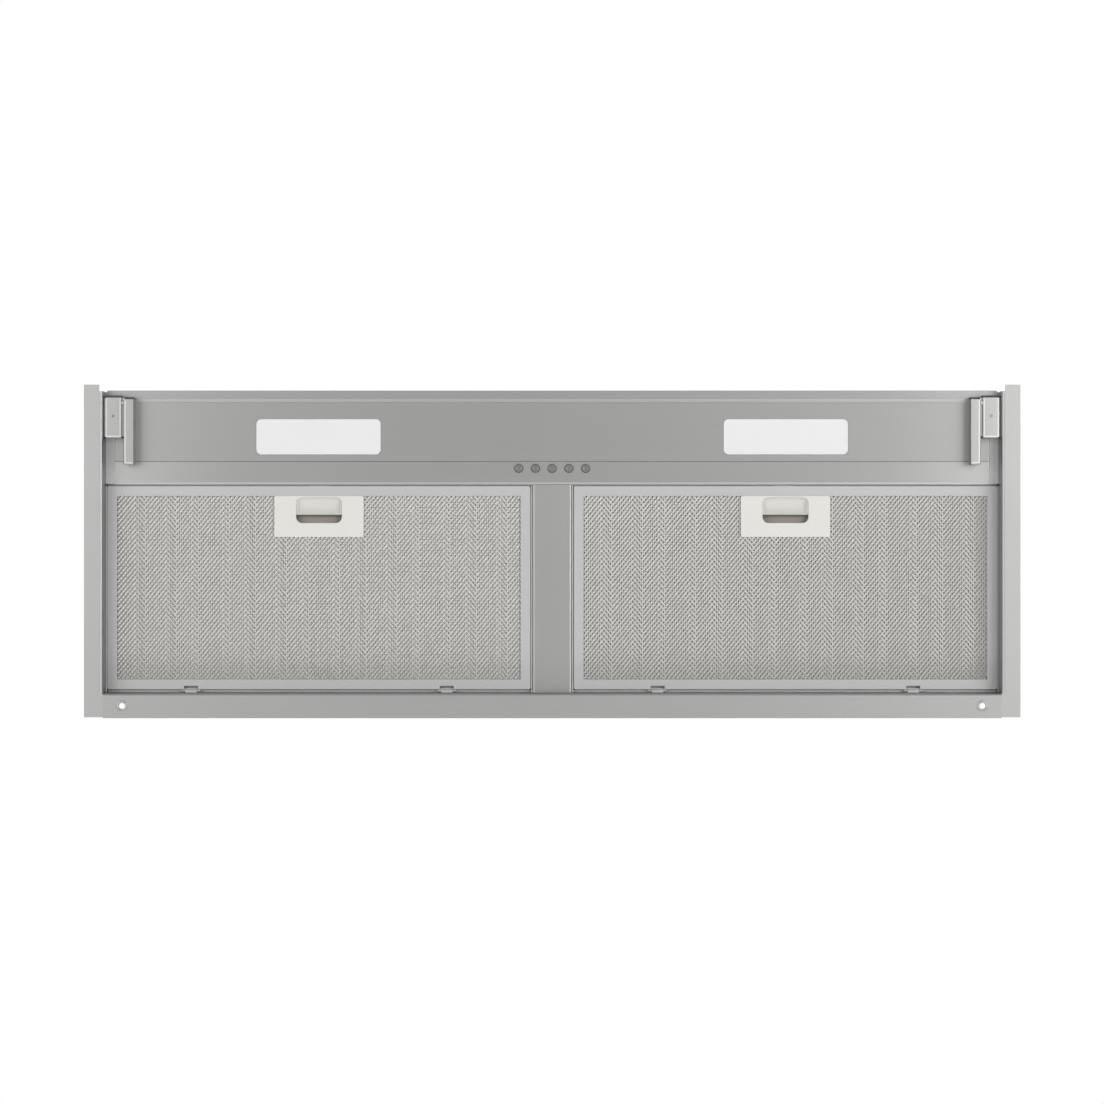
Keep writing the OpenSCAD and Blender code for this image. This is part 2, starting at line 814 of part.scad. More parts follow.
// Side wall of the casing with its foot on the deck
module casing_side(side) {
    color("gainsboro") on_side(side) along_y(casing_front_y + sheet_t, casing_rear_y)
        translate([-casing_x + sheet_t, deck_top]) mirror([1, 0])
            fold_section(foot_w, casing_h, sheet_t, bend_r);
}

// Roof of the casing with the duct opening
module casing_top() {
    color("gainsboro") difference() {
        block([-casing_x, casing_front_y, casing_top_z], [casing_x, casing_rear_y, base_z]);
        translate([0, collar_y, casing_top_z - cut]) cylinder(r = collar_in, h = sheet_t + 2 * cut);
    }
}

// Radius of the scroll at an angle about the fan axis
function spiral_r(angle) =
    tongue_r + (outlet_r - tongue_r) * (angle - tongue_angle) / (360 - tongue_angle);

// Outline of the air path in the scroll and its throat, grown by a wall
function scroll_outline(wall, top) =
    let (
        x = tongue_r * cos(tongue_angle) - wall,
        start = acos(x / (tongue_r + wall)),
        steps = ceil((360 - start) / spiral_step)
    )
    concat(
        [
            for (i = [0:steps])
                let (angle = start + (360 - start) * i / steps, r = spiral_r(angle) + wall)
                [r * cos(angle), r * sin(angle)]
        ],
        [[outlet_r + wall, top], [x, top]]
    );

// Curved band of the scroll, open at the throat, with the flange that holds it under the roof
module scroll_band() {
    top = casing_top_z - fan_z;
    reach = collar_in + scroll_flange;
    color("lightgray") difference() {
        union() {
            translate([0, fan_y, fan_z]) along_x(-scroll_w / 2, scroll_w / 2)
                polygon(scroll_outline(scroll_t, top));
            block([-reach, collar_y - reach, casing_top_z - scroll_t],
                  [reach, collar_y + reach, casing_top_z]);
        }
        translate([0, fan_y, fan_z]) {
            along_x(-scroll_w / 2 - scroll_t, scroll_w / 2 + scroll_t)
                polygon(scroll_outline(0, top + cut));
            for (x = [-scroll_w / 2 - scroll_t, scroll_w / 2]) along_x(x, x + scroll_t)
                polygon(scroll_outline(scroll_t, top + cut));
        }
    }
}

// Side plate of the scroll with a rolled inlet mouth
module scroll_plate(side) {
    mouth = 4;
    color("lightgray") on_side(side) translate([-scroll_w / 2 - scroll_t, fan_y, fan_z]) {
        difference() {
            along_x(0, scroll_t) polygon(scroll_outline(scroll_t, casing_top_z - fan_z));
            rotate([0, 90, 0]) translate([0, 0, -cut])
                cylinder(r = inlet_r + mouth - 0.1, h = scroll_t + 2 * cut);
        }
        rotate([0, 90, 0]) rotate_extrude() translate([inlet_r + mouth, mouth]) intersection() {
            difference() {
                circle(mouth);
                circle(mouth - scroll_t);
            }
            translate([-mouth, -mouth]) square(mouth);
        }
    }
}

// Outline of one forward-curved blade
function blade_outline() =
    let (
        steps = 5,
        sweep = 16,
        at = function(i, side)
            let (
                s = i / steps,
                r = fan_inner_r + (fan_r - fan_inner_r) * s,
                angle = sweep * s * s + side * blade_t / 2 / r * 180 / PI
            )
            [r * cos(angle), r * sin(angle)]
    )
    concat([for (i = [0:steps]) at(i, -1)], [for (i = [steps:-1:0]) at(i, 1)]);

// One row of the fan wheel's forward-curved blades, from the centre disc to the end ring
module fan_blade_row(side) {
    ring_t = 2;
    ring_lip = 1;
    color("lightsteelblue") on_side(side) translate([0, fan_y, fan_z]) rotate([0, 90, 0]) {
        for (i = [0:fan_blades - 1]) rotate(i * 360 / fan_blades)
            along_z(-fan_w / 2 + ring_t / 2, -disc_t / 2) polygon(blade_outline());
        translate([0, 0, -fan_w / 2]) difference() {
            cylinder(r = fan_r + ring_lip, h = ring_t);
            translate([0, 0, -cut]) cylinder(r = fan_inner_r + 2 * ring_lip, h = ring_t + 2 * cut);
        }
    }
}

// Centre disc of the fan wheel with the hub on the motor shaft
module fan_disc() {
    disc_r = fan_r - 1;
    color("lightsteelblue") translate([0, fan_y, fan_z]) rotate([0, 90, 0]) difference() {
        union() {
            translate([0, 0, -disc_t / 2]) cylinder(r = disc_r, h = disc_t);
            translate([0, 0, -hub_l / 2]) cylinder(r = hub_r, h = hub_l);
        }
        translate([0, 0, -hub_l / 2 - cut]) cylinder(r = shaft_r, h = hub_l + 2 * cut);
    }
}

// Motor shaft, through the motor and into the hub
module motor_shaft() {
    rear_out = 4;
    front_out = 2;
    color("dimgray") translate([motor_rear - rear_out, fan_y, fan_z]) rotate([0, 90, 0])
        cylinder(r = shaft_r, h = hub_l / 2 + front_out - motor_rear + rear_out);
}

// Motor: laminated stator between two end bells, with a running bore for the shaft
module motor() {
    rim = 4;
    vents = 6;
    vent_r = 3;
    color("slategray") translate([motor_rear, fan_y, fan_z]) rotate([0, 90, 0]) difference() {
        rotate_extrude() polygon([
            [0, 0], [motor_r * 0.4, 0], [motor_r - rim, bell * 0.4], [motor_r - rim, bell],
            [motor_r, bell], [motor_r, motor_l - bell], [motor_r - rim, motor_l - bell],
            [motor_r - rim, motor_l - bell * 0.4], [motor_r * 0.4, motor_l], [0, motor_l]
        ]);
        translate([0, 0, -cut]) cylinder(r = shaft_r + shaft_fit, h = motor_l + 2 * cut);
        for (i = [0:vents - 1]) rotate((i + 0.5) * 360 / vents) translate([motor_r * 0.62, 0, -cut])
            cylinder(r = vent_r, h = bell * 0.9 + cut);
    }
}

// Motor bracket: a ring round the stator and three arms to the left scroll plate
module motor_bracket() {
    ring_w = 10;
    arm_w = 12;
    ring_x = motor_rear + bell + 2;
    plate_x = -scroll_w / 2 - scroll_t;
    leg_r = foot_r - arm_t;
    color("gray") translate([0, fan_y, fan_z]) {
        translate([ring_x, 0, 0]) rotate([0, 90, 0]) difference() {
            cylinder(r = motor_r + arm_t, h = ring_w);
            translate([0, 0, -cut]) cylinder(r = motor_r + shaft_fit, h = ring_w + 2 * cut);
        }
        for (i = [0:arms - 1]) rotate([i * 360 / arms + arm_turn, 0, 0]) {
            block([ring_x, -arm_w / 2, motor_r + 1], [ring_x + arm_t, arm_w / 2, foot_r]);
            block([min(ring_x, plate_x), -arm_w / 2, leg_r],
                  [max(ring_x + arm_t, plate_x), arm_w / 2, foot_r]);
            block([plate_x - arm_t, -arm_w / 2, leg_r], [plate_x, arm_w / 2, foot_r + foot_l]);
        }
    }
}

// Run capacitor, hung from the casing roof by its stud
module capacitor() {
    r = 14;
    h = 52;
    stud_r = 4;
    stud_h = 4;
    wall_gap = 20;
    color("white") translate([casing_x - r - wall_gap, casing_front_y + r + wall_gap, casing_top_z]) {
        translate([0, 0, -h - stud_h]) cylinder(r = r, h = h);
        translate([0, 0, -stud_h]) cylinder(r = stud_r, h = stud_h);
    }
}

// Duct collar: base flange, tube, and the ledge on which the flaps close
module outlet_collar() {
    ledge_top = pin_z - flap_t / 2 - gap;
    ledge_t = 1.5;
    color("dimgray") translate([0, collar_y, 0]) difference() {
        rotate_extrude() polygon([
            [collar_in, base_z],
            [collar_r + collar_flange, base_z],
            [collar_r + collar_flange, base_z + collar_t],
            [collar_r, base_z + collar_t],
            [collar_r, base_z + collar_h],
            [collar_in, base_z + collar_h],
            [collar_in, ledge_top],
            [collar_in - flap_ledge, ledge_top],
            [collar_in - flap_ledge, ledge_top - ledge_t],
            [collar_in, ledge_top - ledge_t - flap_ledge]
        ]);
        translate([-collar_r - cut, 0, pin_z]) rotate([0, 90, 0])
            cylinder(r = pin_r + pin_fit, h = 2 * (collar_r + cut));
    }
}

// Pin across the collar that carries both flaps
module flap_pin() {
    l = 2 * (collar_r - gap);
    color("silver") translate([-l / 2, collar_y, pin_z]) rotate([0, 90, 0]) cylinder(r = pin_r, h = l);
}

// Non-return flap: half a disc with two sleeves on the pin; drawn for the front half
module flap(side) {
    flap_r = collar_in - 1;
    root = sleeve_r + 2 * gap;
    sleeve_l = flap_r * 0.33;
    mid_gap = 3;
    color("lightgray") translate([0, collar_y, pin_z]) rotate(side < 0 ? 0 : 180) difference() {
        union() {
            intersection() {
                translate([0, 0, -flap_t / 2]) cylinder(r = flap_r, h = flap_t);
                block([-flap_r, -flap_r - cut, -flap_t], [flap_r, -root, flap_t]);
            }
            for (x = [-flap_r * 0.81, mid_gap]) {
                block([x, -root - cut, -flap_t / 2], [x + sleeve_l, 0, flap_t / 2]);
                translate([x, 0, 0]) rotate([0, 90, 0]) cylinder(r = sleeve_r, h = sleeve_l);
            }
        }
        translate([-flap_r, 0, 0]) rotate([0, 90, 0]) cylinder(r = pin_r + sleeve_fit, h = 2 * flap_r);
    }
}

// Terminal box on the casing roof, with a raised lid
module terminal_box() {
    color("dimgray") translate([box_x, box_y, base_z]) {
        along_z(0, box_h) rounded_rect(box_w, box_d, box_r);
        along_z(box_h, box_h + lid_h)
            rounded_rect(box_w + 2 * lid_out, box_d + 2 * lid_out, box_r + lid_out);
    }
}

// Cable gland in the side of the terminal box, empty
module cable_gland() {
    nut_r = 9;
    nut_l = 4;
    neck_r = 7;
    neck_l = 6;
    cap_r = 8;
    cap_l = 6;
    bore_r = 3.5;
    color("black") translate([box_x + box_w / 2, box_y, base_z + box_h / 2]) rotate([0, 90, 0])
        difference() {
            union() {
                cylinder(r = nut_r, h = nut_l, $fn = 6);
                translate([0, 0, nut_l]) cylinder(r = neck_r, h = neck_l);
                translate([0, 0, nut_l + neck_l]) cylinder(r1 = cap_r, r2 = neck_r - cut, h = cap_l);
            }
            translate([0, 0, nut_l / 2]) cylinder(r = bore_r, h = nut_l + neck_l + cap_l);
        }
}

// Low screw head with a bevelled rim, standing on z = 0
module screw_head() {
    rotate_extrude() polygon([
        [0, 0], [screw_r, 0], [screw_r, screw_h * 0.5], [screw_r * 0.7, screw_h], [0, screw_h]
    ]);
}

// Screws through the feet and the roof of the casing
module casing_screws() {
    foot_mid = (foot_w + bend_r) / 2 - sheet_t;
    mid_y = (casing_front_y + casing_rear_y) / 2;
    corner = 8;
    color("silver") {
        for (i = [-1.5:1.5]) translate([i * casing_w / 4, casing_front_y - foot_mid, deck_top + sheet_t])
            screw_head();
        for (side = [-1, 1], i = [-1:1])
            translate([side * (casing_x + foot_mid), mid_y + i * casing_d / 3, deck_top + sheet_t])
                screw_head();
        for (x = [-1, 1], y = [-1, 1])
            translate([x * (casing_x - corner), mid_y + y * (casing_d / 2 - corner), base_z]) screw_head();
    }
}

// Screws that hold the feet of the motor bracket on the scroll
module blower_screws() {
    color("silver") translate([-scroll_w / 2 - scroll_t - arm_t, fan_y, fan_z])
        for (i = [0:arms - 1]) rotate([i * 360 / arms + arm_turn, 0, 0])
            translate([0, 0, foot_r + foot_l / 2]) rotate([0, -90, 0]) screw_head();
}

// Screws through the base flange of the collar
module collar_screws() {
    color("silver") translate([0, collar_y, base_z + collar_t])
        for (i = [0:3]) rotate(i * 90 + 45) translate([collar_r + collar_flange / 2, 0, 0]) screw_head();
}

side_rail(-1);  // left_side_rail
side_rail(1);  // right_side_rail
rear_rail();
front_panel();
control_strip();
centre_mullion();
deck_plate();
trim_bracket(-1);  // left_trim_bracket
trim_bracket(1);  // right_trim_bracket
lamp_lens(-1);  // left_lamp_lens
lamp_lens(1);  // right_lamp_lens
lamp_housing(-1);  // left_lamp_housing
lamp_housing(1);  // right_lamp_housing
led_board(-1);  // left_led_board
led_board(1);  // right_led_board
led_driver();
push_button(-2);  // light_button
push_button(-1);  // off_button
push_button(0);  // low_button
push_button(1);  // medium_button
push_button(2);  // high_button
switch_block();
control_board();
filter_frame(-1);  // left_filter_frame
filter_mesh(-1);  // left_filter_mesh
handle(-1);  // left_handle
latch(-1);  // left_latch
latch_springs(-1);  // left_latch_springs
filter_frame(1);  // right_filter_frame
filter_mesh(1);  // right_filter_mesh
handle(1);  // right_handle
latch(1);  // right_latch
latch_springs(1);  // right_latch_springs
casing_front();
casing_rear();
casing_side(-1);  // casing_left
casing_side(1);  // casing_right
casing_top();
scroll_band();
scroll_plate(-1);  // scroll_left_plate
scroll_plate(1);  // scroll_right_plate
fan_blade_row(-1);  // left_fan_blades
fan_blade_row(1);  // right_fan_blades
fan_disc();
motor_shaft();
motor();
motor_bracket();
capacitor();
outlet_collar();
flap_pin();
flap(-1);  // front_flap
flap(1);  // rear_flap
terminal_box();
cable_gland();
casing_screws();
blower_screws();
collar_screws();
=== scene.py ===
"""Looks of a built-in range hood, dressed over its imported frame.

The hood hangs upside up: its underside faces down (-Z), its front is -Y and its duct leaves upwards.
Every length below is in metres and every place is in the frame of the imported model.
"""

import json
import logging
import math
from dataclasses import dataclass, field, replace
from enum import Enum
from typing import Callable, Iterable, Sequence

import bmesh
import bpy
from mathutils import Matrix, Vector

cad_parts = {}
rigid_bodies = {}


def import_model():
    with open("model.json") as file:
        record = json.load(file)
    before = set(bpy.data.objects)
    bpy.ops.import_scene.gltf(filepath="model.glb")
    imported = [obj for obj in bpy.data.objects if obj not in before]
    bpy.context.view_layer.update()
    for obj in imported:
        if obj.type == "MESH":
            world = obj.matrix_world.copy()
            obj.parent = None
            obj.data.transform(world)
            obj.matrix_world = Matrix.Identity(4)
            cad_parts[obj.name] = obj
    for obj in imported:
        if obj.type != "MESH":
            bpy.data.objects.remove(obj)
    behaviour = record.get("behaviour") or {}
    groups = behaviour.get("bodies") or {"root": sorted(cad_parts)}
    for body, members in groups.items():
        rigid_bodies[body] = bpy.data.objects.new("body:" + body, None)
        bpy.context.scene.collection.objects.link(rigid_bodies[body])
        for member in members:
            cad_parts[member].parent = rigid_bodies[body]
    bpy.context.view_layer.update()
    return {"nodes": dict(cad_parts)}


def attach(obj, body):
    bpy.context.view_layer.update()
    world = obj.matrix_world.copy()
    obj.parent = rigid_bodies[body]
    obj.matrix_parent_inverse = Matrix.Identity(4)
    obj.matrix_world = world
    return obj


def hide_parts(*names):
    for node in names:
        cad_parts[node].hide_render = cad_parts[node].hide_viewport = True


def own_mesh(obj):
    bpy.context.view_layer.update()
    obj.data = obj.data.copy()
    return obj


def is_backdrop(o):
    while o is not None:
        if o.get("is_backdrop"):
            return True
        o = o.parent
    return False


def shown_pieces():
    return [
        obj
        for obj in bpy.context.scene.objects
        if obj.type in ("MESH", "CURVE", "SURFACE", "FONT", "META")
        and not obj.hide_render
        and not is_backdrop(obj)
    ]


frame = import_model()
LOG = logging.getLogger("range_hood")
MM = 0.001
NEAR = 1e-5  # What lies this near a plane counts as lying on it.
CYCLE = 6.283  # Radians in one cycle of a stripe pattern.
Point = Sequence[float]
Colour = tuple[float, float, float]


class Axis(Enum):
    """The three directions of the frame."""

    X = (1.0, 0.0, 0.0)
    Y = (0.0, 1.0, 0.0)
    Z = (0.0, 0.0, 1.0)


class Part(Enum):
    """What a selection in edit mode is made of."""

    VERT = "VERT"
    EDGE = "EDGE"
    FACE = "FACE"


class Side(Enum):
    """The two sides of the hood, seen from its front."""

    LEFT = -1
    RIGHT = 1

    @property
    def word(self) -> str:
        """The side's name in node names."""
        return self.name.lower()


# Shader groups and the bench that wires them.


class NodeBench:
    """Adds and wires nodes in one node tree."""

    def __init__(self, tree: bpy.types.NodeTree) -> None:
        """Takes the tree to work in.

        Args:
            tree: a material's or group's node tree.
        """
        self.tree = tree

    def add(self, kind: str, **values: object) -> bpy.types.Node:
        """Adds a node.

        Args:
            kind: the node's type name without its ShaderNode prefix.
            values: properties of the node to set.

        Returns:
            The new node.
        """
        made = self.tree.nodes.new(kind if kind.startswith("Node") else "ShaderNode" + kind)
        for name, value in values.items():
            setattr(made, name, value)
        return made

    def join(self, source: bpy.types.NodeSocket, target: bpy.types.NodeSocket) -> None:
        """Wires one socket to another."""
        self.tree.links.new(source, target)

    def feed(self, target: bpy.types.NodeSocket, value: object) -> None:
        """Sets a socket to a plain value, or wires a socket to it.

        Args:
            target: the input socket.
            value: a number, a colour or an output socket.
        """
        if isinstance(value, bpy.types.NodeSocket):
            self.join(value, target)
        else:
            target.default_value = value

    def maths(self, operation: str, *values: object, clamp: bool = False) -> bpy.types.NodeSocket:
        """Adds a maths node.

        Args:
            operation: what it works out.
            values: its numbers or sockets, in order.
            clamp: whether the result is kept between 0 and 1.

        Returns:
            Its output.
        """
        made = self.add("Math", operation=operation, use_clamp=clamp)
        for socket, value in zip(made.inputs, values):
            self.feed(socket, value)
        return made.outputs[0]

    def vector(self, operation: str, *values: object) -> bpy.types.NodeSocket:
        """Adds a vector maths node.

        Args:
            operation: what it works out.
            values: its vectors or sockets, in order.

        Returns:
            Its vector output.
        """
        made = self.add("VectorMath", operation=operation)
        for socket, value in zip(made.inputs, values):
            self.feed(socket, value)
        return made.outputs[0]

    def place(self) -> bpy.types.NodeSocket:
        """The place on the object, in its own coordinates."""
        return self.add("TexCoord").outputs["Object"]

    def split(self, value: bpy.types.NodeSocket) -> Sequence[bpy.types.NodeSocket]:
        """Splits a vector.

        Args:
            value: the vector's socket.

        Returns:
            The outputs with its three parts.
        """
        made = self.add("SeparateXYZ")
        self.join(value, made.inputs[0])
        return made.outputs

    def noise(self, at: bpy.types.NodeSocket, scale: object, detail: float = 2.0,
              rough: float = 0.5) -> bpy.types.NodeSocket:
        """Adds a noise.

        Args:
            at: the place to read it at.
            scale: its scale, a number or a socket.
            detail: how many finer noises it adds.
            rough: how strong the finer ones are.

        Returns:
            Its value.
        """
        made = self.add("TexNoise")
        self.feed(made.inputs["Vector"], at)
        self.feed(made.inputs["Scale"], scale)
        made.inputs["Detail"].default_value = detail
        made.inputs["Roughness"].default_value = rough
        return made.outputs["Fac"]

    def ramp(self, value: bpy.types.NodeSocket, low: float, high: float, to_low: float = 0.0,
             to_high: float = 1.0) -> bpy.types.NodeSocket:
        """Maps a value from one range to another, clamped.

        Args:
            value: the value's socket.
            low: where its range starts.
            high: where its range ends.
            to_low: the result at the start.
            to_high: the result at the end.

        Returns:
            The result.
        """
        made = self.add("MapRange", clamp=True)
        for socket, number in zip(made.inputs, (value, low, high, to_low, to_high)):
            self.feed(socket, number)
        return made.outputs[0]

    def mix(self, share: object, first: object, second: object,
            blend: str = "MIX") -> bpy.types.NodeSocket:
        """Mixes two colours.

        Args:
            share: how much of the second shows.
            first: a colour or its socket.
            second: a colour or its socket.
            blend: the way to mix them.

        Returns:
            The mixed colour.
        """
        made = self.add("Mix", data_type="RGBA", blend_type=blend)
        self.feed(made.inputs[0], share)
        self.feed(made.inputs[6], first)
        self.feed(made.inputs[7], second)
        return made.outputs[2]

    def shade(self, colour: bpy.types.NodeSocket, tone: bpy.types.NodeSocket) -> bpy.types.NodeSocket:
        """Multiplies a colour by one tone.

        Args:
            colour: the colour's socket.
            tone: the tone's socket.

        Returns:
            The shaded colour.
        """
        grey = self.add("CombineColor")
        for socket in grey.inputs:
            self.join(tone, socket)
        return self.mix(1.0, colour, grey.outputs[0], "MULTIPLY")


class GroupKit:
    """The shader groups that the finishes share, each built once."""

    made: dict[str, bpy.types.NodeTree] = {}

    @classmethod
    def _start(cls, name: str, inputs: dict[str, tuple[str, object]],
               outputs: dict[str, str]) -> tuple[NodeBench, bpy.types.Node, bpy.types.Node]:
        """Starts a group with its sockets.

        Args:
            name: the group's name.
            inputs: for each input, its socket type and default value.
            outputs: for each output, its socket type.

        Returns:
            A bench in the group, its input node and its output node.
        """
        tree = bpy.data.node_groups.new(name, "ShaderNodeTree")
        for label, (kind, value) in inputs.items():
            socket = tree.interface.new_socket(label, in_out="INPUT", socket_type="NodeSocket" + kind)
            socket.default_value = value
        for label, kind in outputs.items():
            tree.interface.new_socket(label, in_out="OUTPUT", socket_type="NodeSocket" + kind)
        bench = NodeBench(tree)
        cls.made[name] = tree
        return bench, bench.add("NodeGroupInput"), bench.add("NodeGroupOutput")

    @classmethod
    def rolled_grain(cls) -> bpy.types.NodeTree:
        """Builds the fine parallel scratches of brushed or rolled sheet, with a painted sheen that lightens
        the tone towards both ends in X.

        Returns:
            The group, which puts out colour, roughness and height.
        """
        name = "RolledGrain"
        if name in cls.made:
            return cls.made[name]
        bench, given, out = cls._start(
            name,
            {"Colour": ("Color", (0.6, 0.6, 0.6, 1)), "Stretch": ("Vector", (6.0, 900.0, 900.0)),
             "Contrast": ("Float", 0.06), "Roughness": ("Float", 0.35), "Smudge": ("Float", 0.05),
             "Ends": ("Float", 0.0)},
            {"Colour": "Color", "Roughness": "Float", "Height": "Float"})
        place = bench.place()
        along = bench.vector("MULTIPLY", place, given.outputs["Stretch"])
        fine = bench.noise(along, 1.0, 3.0, 0.6)
        broad = bench.noise(along, 0.12, 2.0)
        streak = bench.maths("ADD", bench.maths("MULTIPLY", fine, 0.7), bench.maths("MULTIPLY", broad, 0.3))
        swing = bench.maths("MULTIPLY", bench.maths("SUBTRACT", streak, 0.5), given.outputs["Contrast"])
        cloud = bench.noise(place, 9.0, 3.0, 0.55)
        veil = bench.maths("MULTIPLY", bench.ramp(cloud, 0.42, 0.7), given.outputs["Smudge"])
        tone = bench.maths("SUBTRACT", bench.maths("ADD", 1.0, bench.maths("MULTIPLY", swing, 2.0)),
                           bench.maths("MULTIPLY", veil, 0.35))
        # Painted sheen: the tone rises towards both ends in X, where the steel looks brighter by its
        # reflection.
        end = bench.ramp(bench.maths("ABSOLUTE", bench.split(place)[0]), 0.24, 0.384)
        lift = bench.maths("MULTIPLY", bench.maths("POWER", end, 2.0), given.outputs["Ends"])
        tone = bench.maths("MULTIPLY", tone, bench.maths("ADD", 1.0, lift))
        bench.join(bench.shade(given.outputs["Colour"], tone), out.inputs["Colour"])
        rough = bench.maths("ADD", given.outputs["Roughness"], swing)
        bench.join(bench.maths("ADD", rough, veil, clamp=True), out.inputs["Roughness"])
        bench.join(streak, out.inputs["Height"])
        return cls.made[name]

    @classmethod
    def spangle(cls) -> bpy.types.NodeTree:
        """Builds the crystal flowers of galvanised sheet with their light white bloom.

        Returns:
            The group, which puts out colour, roughness and height.
        """
        name = "Spangle"
        if name in cls.made:
            return cls.made[name]
        bench, given, out = cls._start(
            name,
            {"Colour": ("Color", (0.6, 0.6, 0.6, 1)), "Size": ("Float", 90.0),
             "Contrast": ("Float", 0.16), "Roughness": ("Float", 0.42)},
            {"Colour": "Color", "Roughness": "Float", "Height": "Float"})
        place = bench.place()
        cell = bench.add("TexVoronoi")
        bench.join(place, cell.inputs["Vector"])
        bench.join(given.outputs["Size"], cell.inputs["Scale"])
        parts = bench.add("SeparateColor")
        bench.join(cell.outputs["Color"], parts.inputs[0])
        flake = bench.maths("SUBTRACT", parts.outputs[0], 0.5)
        bloom = bench.ramp(bench.noise(place, 14.0, 4.0, 0.6), 0.45, 0.75)
        swing = bench.maths("MULTIPLY", flake, given.outputs["Contrast"])
        tone = bench.maths("ADD", bench.maths("ADD", 1.0, swing), bench.maths("MULTIPLY", bloom, 0.06))
        bench.join(bench.shade(given.outputs["Colour"], tone), out.inputs["Colour"])
        rough = bench.maths("ADD", given.outputs["Roughness"], swing)
        dull = bench.maths("MULTIPLY", bloom, 0.12)
        bench.join(bench.maths("ADD", rough, dull, clamp=True), out.inputs["Roughness"])
        bench.join(parts.outputs[1], out.inputs["Height"])
        return cls.made[name]

    @classmethod
    def moulded_skin(cls) -> bpy.types.NodeTree:
        """Builds the eroded tool skin of moulded plastic.

        Returns:
            The group, which puts out colour, roughness and height.
        """
        name = "MouldedSkin"
        if name in cls.made:
            return cls.made[name]
        bench, given, out = cls._start(
            name,
            {"Colour": ("Color", (0.6, 0.6, 0.6, 1)), "Size": ("Float", 1400.0),
             "Contrast": ("Float", 0.05), "Roughness": ("Float", 0.45)},
            {"Colour": "Color", "Roughness": "Float", "Height": "Float"})
        place = bench.place()
        pits = bench.noise(place, given.outputs["Size"])
        flow = bench.noise(place, 24.0, 3.0, 0.5)
        swing = bench.maths("MULTIPLY", bench.maths("SUBTRACT", flow, 0.5), given.outputs["Contrast"])
        bench.join(bench.shade(given.outputs["Colour"], bench.maths("ADD", 1.0, swing)),
                   out.inputs["Colour"])
        bench.join(bench.maths("ADD", given.outputs["Roughness"],
                               bench.maths("MULTIPLY", swing, 2.0), clamp=True),
                   out.inputs["Roughness"])
        bench.join(pits, out.inputs["Height"])
        return cls.made[name]

    @classmethod
    def settled_dust(cls) -> bpy.types.NodeTree:
        """Builds a thin film of dust on what faces up.

        Returns:
            The group, which puts out colour and roughness.
        """
        name = "SettledDust"
        if name in cls.made:
            return cls.made[name]
        bench, given, out = cls._start(
            name,
            {"Colour": ("Color", (0.6, 0.6, 0.6, 1)), "Roughness": ("Float", 0.4),
             "Amount": ("Float", 0.2)},
            {"Colour": "Color", "Roughness": "Float"})
        upward = bench.split(bench.add("NewGeometry").outputs["Normal"])[2]
        lying = bench.ramp(upward, 0.3, 0.95)
        patch = bench.ramp(bench.noise(bench.place(), 40.0, 5.0, 0.65), 0.35, 0.7, 0.35, 1.0)
        film = bench.maths("MULTIPLY", bench.maths("MULTIPLY", lying, patch), given.outputs["Amount"])
        bench.join(bench.mix(film, given.outputs["Colour"], (0.5, 0.48, 0.45, 1)), out.inputs["Colour"])
        bench.join(bench.maths("ADD", given.outputs["Roughness"],
                               bench.maths("MULTIPLY", film, 0.5), clamp=True),
                   out.inputs["Roughness"])
        return cls.made[name]


# Finishes, each with the sockets of its own shader.


class Surface(Enum):
    """The shared effect that a finish is built on."""

    GRAIN = "RolledGrain"
    SPANGLE = "Spangle"
    SKIN = "MouldedSkin"


